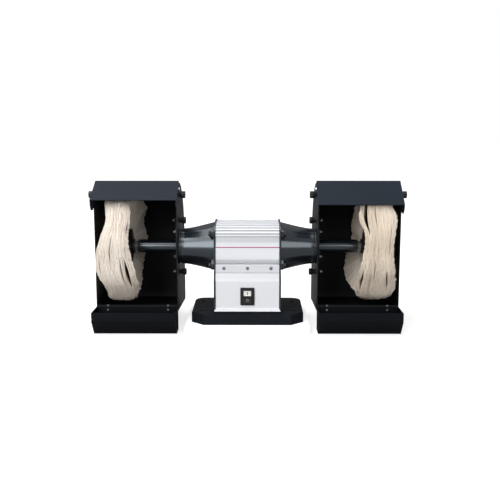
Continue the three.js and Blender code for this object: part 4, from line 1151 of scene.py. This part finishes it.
def edge_place(buff, across, angle, inboard, outboard, near, circle):
    """Where one side of a disc stands at the rim, with its ruffles and pushed by the slits."""
    outer = (2 * abs(across - 0.5)) ** 6
    ruffle = outer * buff["ruffles"][across > 0.5]
    edge = inboard + (outboard - inboard) * across
    edge += edge_drift * noise.noise(near * 2.3 + Vector((7, 0, 0)))
    edge += ruffle * noise.noise(circle * 4.3 + Vector((0, 5, 3 * across)))
    edge += ruffle * fine_ruffle * noise.noise(circle * 11 + Vector((5, 0, 3 * across)))
    for place, half, share, width in buff["slits"]:
        off = (math.degrees(angle) - place + 180) % 360 - 180
        if abs(off) < half:
            opening = (1 - (off / half) ** 2) * width / 2
            pushed = across - share
            edge += math.copysign(opening, pushed) * math.exp(-abs(pushed) / slit_spread)
    return edge


def rim_of(buff, disc, angle):
    """A disc's rim at an angle: where its two sides stand, its radius and its drift of tone."""
    circle = Vector((noise_ring * math.cos(angle), noise_ring * math.sin(angle), 0))
    near = circle + Vector((0, 0, noise_step * disc))
    inboard = buff_middle + hood_width * round_rim(buff["inboard"], angle)
    outboard = buff_middle + hood_width * round_rim(buff["outboard"], angle)
    low, high = buff["bounds"][disc], buff["bounds"][disc + 1]
    filled = filled_half + filled_drift * noise.noise(near * 1.7)
    edges = [edge_place(buff, low + (high - low) * share, angle, inboard, outboard, near, circle)
             for share in (0.5 - filled, 0.5 + filled)]
    outwards = 2 * abs((low + high) / 2 - 0.5)
    apart = circle + Vector((0, 0, fray_step * disc))
    fray = noise.noise(apart * 9) + noise.noise(apart * 23)
    wave = scallop * math.sin(scallops * angle + buff["phase"])
    radius = rim_radius + wave + buff["lengths"][disc]
    radius += (fray_depth + end_fray_depth * outwards ** 6) * fray
    radius -= end_disc_fall * outwards ** 4
    return edges, radius, tone_drift * noise.noise(apart * 4)


def cotton_pack(buff, first_disc):
    """Twenty loose discs, from the flat hub to a fanned and frayed rim."""
    pack = disc_wires(first_disc)
    sector = 2 * math.pi / sectors
    bmesh.ops.spin(pack, geom=pack.verts[:] + pack.edges[:], cent=(0, 0, 0), axis=(1, 0, 0),
                   angle=sector, steps=spin_steps // sectors)
    bmesh.ops.spin(pack, geom=pack.verts[:] + pack.edges[:] + pack.faces[:], cent=(0, 0, 0),
                   axis=(1, 0, 0), angle=2 * math.pi - sector, steps=sectors - 1,
                   use_duplicate=True)
    bmesh.ops.remove_doubles(pack, verts=pack.verts, dist=0.0001)
    tone = pack.verts.layers.float.new("fold_tone")
    rims = {}
    for vert in pack.verts:
        within = vert.co.x % 1
        disc = first_disc + int(vert.co.x)
        reach = (math.hypot(vert.co.y, vert.co.z) - 1.0) / 0.5
        angle = math.atan2(vert.co.z, vert.co.y) % (2 * math.pi)
        hub_x = pack_start + (pack_end - pack_start) * (disc + within) / (2 * discs)
        if reach <= 0:
            radius = hub_radius + reach * (hub_radius - bore_radius)
            vert.co = (hub_x, radius * math.cos(angle), axis_height + radius * math.sin(angle))
            vert[tone] = buff["tones"][disc]
            continue
        key = (disc, round(angle * spin_steps / (2 * math.pi)) % spin_steps)
        if key not in rims:
            rims[key] = rim_of(buff, disc, angle)
        edges, rim, drift = rims[key]
        edge = edges[0] + (edges[1] - edges[0]) * (within - ply_gap) / (1 - 2 * ply_gap)
        swing = math.sin(3 * angle + buff["phase"] + 0.1 * disc)
        sway = sway_depth * swing * reach * (1 - reach)
        radius = hub_radius + (rim - hub_radius) * reach
        vert.co = (hub_x + (edge - hub_x) * reach ** fan_curve + sway, radius * math.cos(angle),
                   axis_height + radius * math.sin(angle))
        # Each disc's tone drifts at random, and painted shade darkens the sides between discs with
        # depth and the pack's outer faces below the rim
        shown = disc == 0 and within < 0.5 or disc == 2 * discs - 1 and within > 0.5
        hidden = 0 if shown else min(1, max(0, (lit_reach - reach) / shadow_run))
        face_shading = face_painted_shade if shown and reach < face_shade_reach else 1.0
        vert[tone] = (buff["tones"][disc] + drift) * (1 - hidden_shade * hidden) * face_shading
    return pack


for side, sign in sides.items():
    dice = random.Random(side)
    shares = [dice.uniform(0.55, 1.45) for _ in range(2 * discs)]
    bounds = [sum(shares[:i]) / sum(shares) for i in range(2 * discs + 1)]
    slits = [(place, half, min(bounds[1:-1], key=lambda b, s=share: abs(b - s)), width)
             for place, half, share, width in buffs[side]["slits"]]
    settled = {**buffs[side], "bounds": bounds, "slits": slits,
               "tones": [dice.uniform(0.93, 1.03) for _ in range(2 * discs)],
               "lengths": [dice.uniform(-0.0013, 0.0006) for _ in range(2 * discs)]}
    for label, first_disc in (("inner", 0), ("outer", discs)):
        make_piece(f"{side}_cotton_{label}_pack", handed(cotton_pack(settled, first_disc), sign),
                   cotton, "spindle", [f"{side}_buff_{label}_section"], crease=70)


# Hood walls
# Laser-cut sheet-steel walls on both sides of each buff. The motor-side one has a slotted
# hole for the bracket's collar and two slots for the clamp screws, and both are powder coated.

for side in sides:
    for label in ("inner", "outer"):
        make_piece(f"{side}_{label}_side_sheet", shape_of(f"{side}_hood_{label}_wall"), satin_black,
                   f"{side}_hood", [f"{side}_hood_{label}_wall"], softness=0.0004)


# Hood wrappers
# One rolled sheet for the hood's back and top, bent under as its floor and up again as a lip.
# It is seam welded between the walls, and a second sheet laps it low on the back.

def folded(path, start, end, bends, bend_radius):
    """A sheet's outer face on a path of (y, z) points, run along X, with some corners rounded."""
    skin = outlined([(start, y, z) for y, z in path], closed=False)
    wire = skin.edges[:]
    grown = bmesh.ops.extrude_edge_only(skin, edges=wire)["geom"]
    bmesh.ops.translate(skin, vec=(end - start, 0, 0),
                        verts=[v for v in grown if isinstance(v, bmesh.types.BMVert)])
    corners = [Vector(path[i]) for i in bends]
    lines = [e for e in skin.edges if abs(e.verts[0].co.x - e.verts[1].co.x) > 1e-6
             and any((e.verts[0].co.yz - corner).length < 1e-6 for corner in corners)]
    bmesh.ops.bevel(skin, geom=lines, offset=bend_radius, segments=5, profile=0.5,
                    affect="EDGES", material=-1)
    skin.normal_update()
    return skin


def given_thickness(skin, thickness, inside):
    """Thickens a folded sheet from its outer face, towards a point inside."""
    face = max(skin.faces, key=lambda f: f.calc_area())
    towards = Vector(inside) - face.calc_center_median()
    if face.normal.dot(towards) > 0:
        bmesh.ops.reverse_faces(skin, faces=skin.faces)
    bmesh.ops.solidify(skin, geom=skin.faces[:], thickness=thickness)
    return skin


sheet_thickness = 0.0020
wall_and_gap = sheet_thickness + 0.0003
hood_inner = 0.1867
hood_outer = 0.4067
hood_front = -0.0620
hood_rear = 0.1680
floor_front = 0.0280
floor_rear = 0.0100
lip_top = 0.0450
lip_bend = 0.0025
arc_centre = (-0.0040, 0.1980)
arc_radius = 0.1720
mouth_edge = -0.0180
fold_radius = 0.0100
floor_slope = math.atan2(floor_front - floor_rear, hood_rear - hood_front)
fold_centre = (hood_rear - fold_radius, floor_rear + fold_radius * math.tan(floor_slope)
               + fold_radius / math.cos(floor_slope))
top_start = 90 + math.degrees(math.asin((arc_centre[0] - mouth_edge) / arc_radius))
wrap_path = [
    *arc(arc_centre, arc_radius, top_start, 0, 40),
    *arc(fold_centre, fold_radius, 0, -90 - math.degrees(floor_slope), 8),
    (hood_front, floor_front), (hood_front, lip_top),
]
lap_foot = 0.0300
lap_top = 0.1120
lap_rear = hood_rear - 0.0018
lap_front = hood_rear - 0.0032
inside_hood = ((hood_inner + hood_outer) / 2, 0.05, 0.18)
for side, sign in sides.items():
    wrap = folded(wrap_path, hood_inner + wall_and_gap, hood_outer - wall_and_gap,
                  bends=[len(wrap_path) - 2], bend_radius=lip_bend)
    wrap = given_thickness(wrap, sheet_thickness, inside_hood)
    lap = block((hood_inner + wall_and_gap, lap_front, lap_foot),
                (hood_outer - wall_and_gap, lap_rear, lap_top))
    make_piece(f"{side}_rolled_sheet", handed(together(wrap, lap), sign), satin_black,
               f"{side}_hood", [f"{side}_hood_wrapper"], softness=0.0003)


# Clamp knobs
# Ribbed plastic knobs moulded on steel studs. They pass through the slots of the motor-side
# wall into the bracket's nuts, and hold the hood at its height.

rib_depth = 0.0009
grip_break = 0.0009
grip_dish_rim = (0.74, 0.74, 1)
grip_dish_floor = (0.93, 0.93, 1)
grip_dish_depth = 0.0009


def ribbed_head(radius, length, ribs):
    """A ribbed grip along +Z, from the origin up, with a dished end."""
    shape = bmesh.new()
    bmesh.ops.create_cone(shape, cap_ends=True, segments=4 * ribs, radius1=radius, radius2=radius,
                          depth=length, matrix=Matrix.Translation((0, 0, length / 2)))
    for vert in shape.verts:
        turn = math.atan2(vert.co.y, vert.co.x)
        valley = (1 - math.cos(turn * ribs)) / 2
        reach = 1 - rib_depth * valley / radius
        vert.co.x *= reach
        vert.co.y *= reach
    rims = [e for e in shape.edges if abs(e.verts[0].co.z - e.verts[1].co.z) < 1e-7]
    bmesh.ops.bevel(shape, geom=rims, offset=grip_break, segments=3, profile=0.5, affect="EDGES",
                    material=-1)
    end = max(shape.faces, key=lambda f: f.calc_center_median().z)
    dish = stepped(shape, end, grip_dish_rim, (0, 0, 0))
    stepped(shape, dish, grip_dish_floor, (0, 0, -grip_dish_depth))
    return shape


neck_flare = 0.0012
grip_overlap = 0.0001


def hand_knob(sizes, at, way):
    """The plastic of a knob: its grip and neck, on a seat, with its head in the way given."""
    neck_line = [(0, sizes["stud"]), (0, sizes["neck_radius"]),
                 (way * (sizes["neck"] - neck_flare), sizes["neck_radius"]),
                 (way * sizes["neck"], sizes["neck_radius"] + neck_flare),
                 (way * sizes["neck"], sizes["stud"])]
    grip = ribbed_head(sizes["radius"], sizes["head"], sizes["ribs"])
    start = Vector(at) + Vector((way * (sizes["neck"] - grip_overlap), 0, 0))
    return together(turned(neck_line, 40, at), facing(grip, (way, 0, 0), start))


stud_root = 0.0020
stud_plain = 0.0004
thread_start = 0.0006
stud_break = 0.0010
stud_thread = {"pitch": 0.0010, "depth": 0.0004}


def knob_stud(sizes, at, way):
    """The threaded steel stud of a knob, away from its head, with a chamfered tip."""
    tip = -way * sizes["reach"]
    radius = sizes["stud"]
    profile = [(way * stud_root, 0), (way * stud_root, radius), (-way * stud_plain, radius),
               *threaded(-way * thread_start, tip + way * stud_break, radius, **stud_thread),
               (tip, radius - stud_break), (tip, 0)]
    return turned(profile, 28, at, closed=False)


knob_black = grained_plastic("knob_black_moulding", (0.0050, 0.0052, 0.0060), 0.34, 1800, 0.00002)
clamp_sizes = {"radius": 0.0093, "head": 0.0100, "ribs": 12, "neck_radius": 0.0065,
               "neck": 0.0084, "stud": 0.0038, "reach": 0.0180}
clamp_heights = {"upper": 0.2670, "lower": 0.1250}
clamp_seat = hood_inner - 0.0003
for side, sign in sides.items():
    for level, height in clamp_heights.items():
        at = (sign * clamp_seat, 0, height)
        body = f"{side}_clamp_knob_{level}"
        make_piece(f"{side}_{level}_clamp_grip", hand_knob(clamp_sizes, at, -sign), knob_black,
                   body, [f"{side}_hood_clamp_{level}"])
        make_piece(f"{side}_{level}_clamp_stud", knob_stud(clamp_sizes, at, -sign), zinc, body)


# Visors
# Bent sheet-steel visors over the mouth of each hood, in blue-grey powder coat. Both cheeks
# hang outside the walls on their pivots, with a curved slot for the knob that sets the tilt.

visor_grey = sprayed("visor_blue_grey_powder", (0.0102, 0.0163, 0.0252), 0.52, peel=1100,
                     depth=0.00006, level=0.17)
for side in sides:
    make_piece(f"{side}_visor_sheet", shape_of(f"{side}_visor"), visor_grey,
               f"{side}_visor_plate", [f"{side}_visor"], softness=0.0009)


# Visor pivots and knobs
# A zinc-plated shoulder screw with a nut inside carries each cheek of a visor. Under it, a
# ribbed plastic knob on a stud pinches the cheek against the wall.

# The domed head as (distance from the wall, radius), and the shoulder and nut inside the wall
pivot_dome = ((0.0061, 0.0), (0.0060, 0.0022), (0.0053, 0.0039), (0.0040, 0.0048),
              (0.0026, 0.0050))
shoulder_start = 0.0026
shoulder_radius = 0.0030
shoulder_end = 0.0069
pivot_nut = (0.0023, 0.0063)
pivot_nut_across = 0.0087


def pivot_screw(at, way):
    """A domed screw head outside the cheek, its shoulder, and a nut inside the wall."""
    profile = [(way * out, radius) for out, radius in pivot_dome]
    profile += [(way * shoulder_start, shoulder_radius), (-way * shoulder_end, shoulder_radius),
                (-way * shoulder_end, 0.0)]
    screw = turned(profile, 36, at, closed=False)
    low, high = sorted(at[0] - way * end for end in pivot_nut)
    return together(screw, six_sided(pivot_nut_across, low, high, at[1:], 0.0005))


knob_sizes = {"radius": 0.0096, "head": 0.0134, "ribs": 14, "neck_radius": 0.0062,
              "neck": 0.0036, "stud": 0.0025, "reach": 0.0080}
pivot_y = -0.0220
pivot_height = 0.3540
knob_height = 0.3390
knob_seat = 0.0026
for side, sign in sides.items():
    for label, wall, out in (("inner", hood_inner, -1), ("outer", hood_outer, 1)):
        way = sign * out
        pivot = pivot_screw((sign * wall, pivot_y, pivot_height), way)
        make_piece(f"{side}_{label}_pivot_screw", pivot, zinc, f"{side}_hood",
                   [f"{side}_visor_pivot_{label}"])
        seat = (sign * (wall + out * knob_seat), pivot_y, knob_height)
        body = f"{side}_visor_knob_{label}_body"
        make_piece(f"{side}_{label}_visor_grip", hand_knob(knob_sizes, seat, way), knob_black,
                   body, [f"{side}_visor_knob_{label}"])
        make_piece(f"{side}_{label}_visor_stud", knob_stud(knob_sizes, seat, way), zinc, body)


# Dust trays
# Folded sheet-steel troughs that hang on the hood's front edge and catch lint and compound.
# Their ends are welded in, and four pan-head screws hold each tray to the hood's lip.

tray_black = sprayed("tray_black_powder", (0.0042, 0.0050, 0.0072), 0.45, peel=1100,
                     depth=0.00006, level=0.10)
tray_bend = 0.0022
tray_rear = hood_front - 0.0003
tray_floor = -0.0220
# Down the hood's front, along the floor, up the slope and up the front edge
tray_path = [(tray_rear, 0.0405), (tray_rear, tray_floor), (-0.1100, tray_floor),
             (-0.1420, 0.0170), (-0.1420, 0.0420)]
inside_tray = ((hood_inner + hood_outer) / 2, -0.09, 0.05)
tray_screw = {"radius": 0.0030, "height": 0.0020, "socket": 0.0007}
tray_screw_places = [(x, y, z) for x in (0.2140, 0.3760)
                     for y, z in ((-0.0640, 0.0315), (-0.0620, 0.0430))]
for side, sign in sides.items():
    trough = folded(tray_path, hood_inner + sheet_thickness / 2, hood_outer - sheet_thickness / 2,
                    bends=[1, 2, 3], bend_radius=tray_bend)
    parts = [
        given_thickness(trough, sheet_thickness, inside_tray),
        prism(tray_path, hood_inner, hood_inner + sheet_thickness),
        prism(tray_path, hood_outer - sheet_thickness, hood_outer),
    ]
    make_piece(f"{side}_dust_trough", handed(together(*parts), sign), tray_black,
               f"{side}_hood", [f"{side}_dust_tray"], softness=0.0004)
    screws = [facing(pan_head(**tray_screw), (0, -1, 0), at) for at in tray_screw_places]
    make_piece(f"{side}_tray_screws", handed(together(*screws), sign), dull_zinc, f"{side}_hood")


# Studio
# A white floor under the trays with a white block under the base, two large soft lamps in
# front, one above, and the camera at the photograph's height and angle.

scene = bpy.context.scene
scene.view_settings.view_transform = "Standard"
machine_middle = Vector((0, 0, 0.2))


def lamp(name, at, width, height, brightness):
    """A rectangular softbox that looks at the middle of the machine."""
    data = bpy.data.lights.new(name, "AREA")
    data.shape = "RECTANGLE"
    data.size = width
    data.size_y = height
    data.energy = brightness * math.pi * width * height
    softbox = bpy.data.objects.new(name, data)
    scene.collection.objects.link(softbox)
    softbox.location = at
    aim = machine_middle - Vector(at)
    softbox.rotation_euler = aim.to_track_quat("-Z", "Y").to_euler()


lamp("left_window", (-1.40, -2.88, 1.02), 1.8, 1.6, 5.7)
lamp("right_window", (1.40, -2.88, 1.02), 1.8, 1.6, 2.95)
lamp("upper_left_softbox", (-1.30, -2.25, 2.75), 1.6, 2.3, 2.6)
lamp("overhead_softbox", (-0.6, -0.3, 2.4), 2.4, 2.2, 2.1)
lamp("rear_left_softbox", (-1.9, 1.7, 1.5), 1.0, 1.4, 4)
lamp("rear_right_softbox", (1.9, 1.7, 1.5), 1.0, 1.4, 4)

world = bpy.data.worlds.new("studio")
scene.world = world
world.use_nodes = True
studio = Nodes(world.node_tree)


def ray_is(nodes, *kinds):
    """One where the ray is of any of these kinds, or else nought."""
    flags = [nodes.add("ShaderNodeLightPath", output=f"Is {kind} Ray") for kind in kinds]
    return sum(flags[1:], flags[0])


heading = studio.add("ShaderNodeTexCoord", output="Generated")
# What the paint mirrors brightens from the sides to the ceiling; all else gets a dim white
backdrop = studio.fade(studio.part(heading, "Z"), 0.35, 0.75, 0.22, 0.52)
ambient = 0.13
seen = ray_is(studio, "Camera")
mirrored = ray_is(studio, "Glossy", "Transmission")
level = seen + (1 - seen) * (mirrored * backdrop + (1 - mirrored) * ambient)
studio.feed(world.node_tree.nodes["Background"].inputs["Strength"], level)
studio.feed(world.node_tree.nodes["Background"].inputs["Color"], (1, 1, 1, 1))

floor_level = -0.0225
floor_half = 14
shadow_reach = (0.20, 0.90)
floor_dim = (0.32, 0.32, 0.32)
floor_lit = (0.60, 0.60, 0.60)
floor_white = Finish("floor_white", Roughness=1.0, Specular_IOR_Level=0.0,
                     Emission_Strength=1.0)
spot = floor_white.place()
aside = floor_white.part(spot, "X")
away = floor_white.part(spot, "Y")
glow = floor_white.fade(aside * aside + away * away, *shadow_reach, low=0.72)
eye = ray_is(floor_white, "Camera")
mirror = ray_is(floor_white, "Glossy", "Transmission")
floor_white.surface(
    Base_Color=floor_white.mixed(eye + mirror * 0.5, floor_dim, floor_lit),
    Emission_Color=glow * eye,
)


def studio_piece(name, shape):
    """A white piece of the studio, which isn't part of the machine."""
    mesh = bpy.data.meshes.new(name)
    shape.to_mesh(mesh)
    shape.free()
    mesh.materials.append(floor_white.material)
    piece = bpy.data.objects.new(name, mesh)
    scene.collection.objects.link(piece)


ground = bmesh.new()
bmesh.ops.create_grid(ground, x_segments=1, y_segments=1, size=floor_half,
                      matrix=Matrix.Translation((0, 0, floor_level)))
studio_piece("floor", ground)
plinth_half = (0.165, 0.118)
plinth_top = -0.0002
plinth = block((-plinth_half[0], -plinth_half[1], floor_level), (*plinth_half, plinth_top))
studio_piece("plinth", plinth)

camera_data = bpy.data.cameras.new("camera")
camera_data.lens = 58.49
camera_data.sensor_width = 36
camera = bpy.data.objects.new("camera", camera_data)
scene.collection.objects.link(camera)
looking_down = 0.169
looking_left = 0.0056
camera.location = (0.0187, -2.1948, 0.5592)
camera.rotation_euler = (math.pi / 2 - looking_down, 0, looking_left)
scene.camera = camera
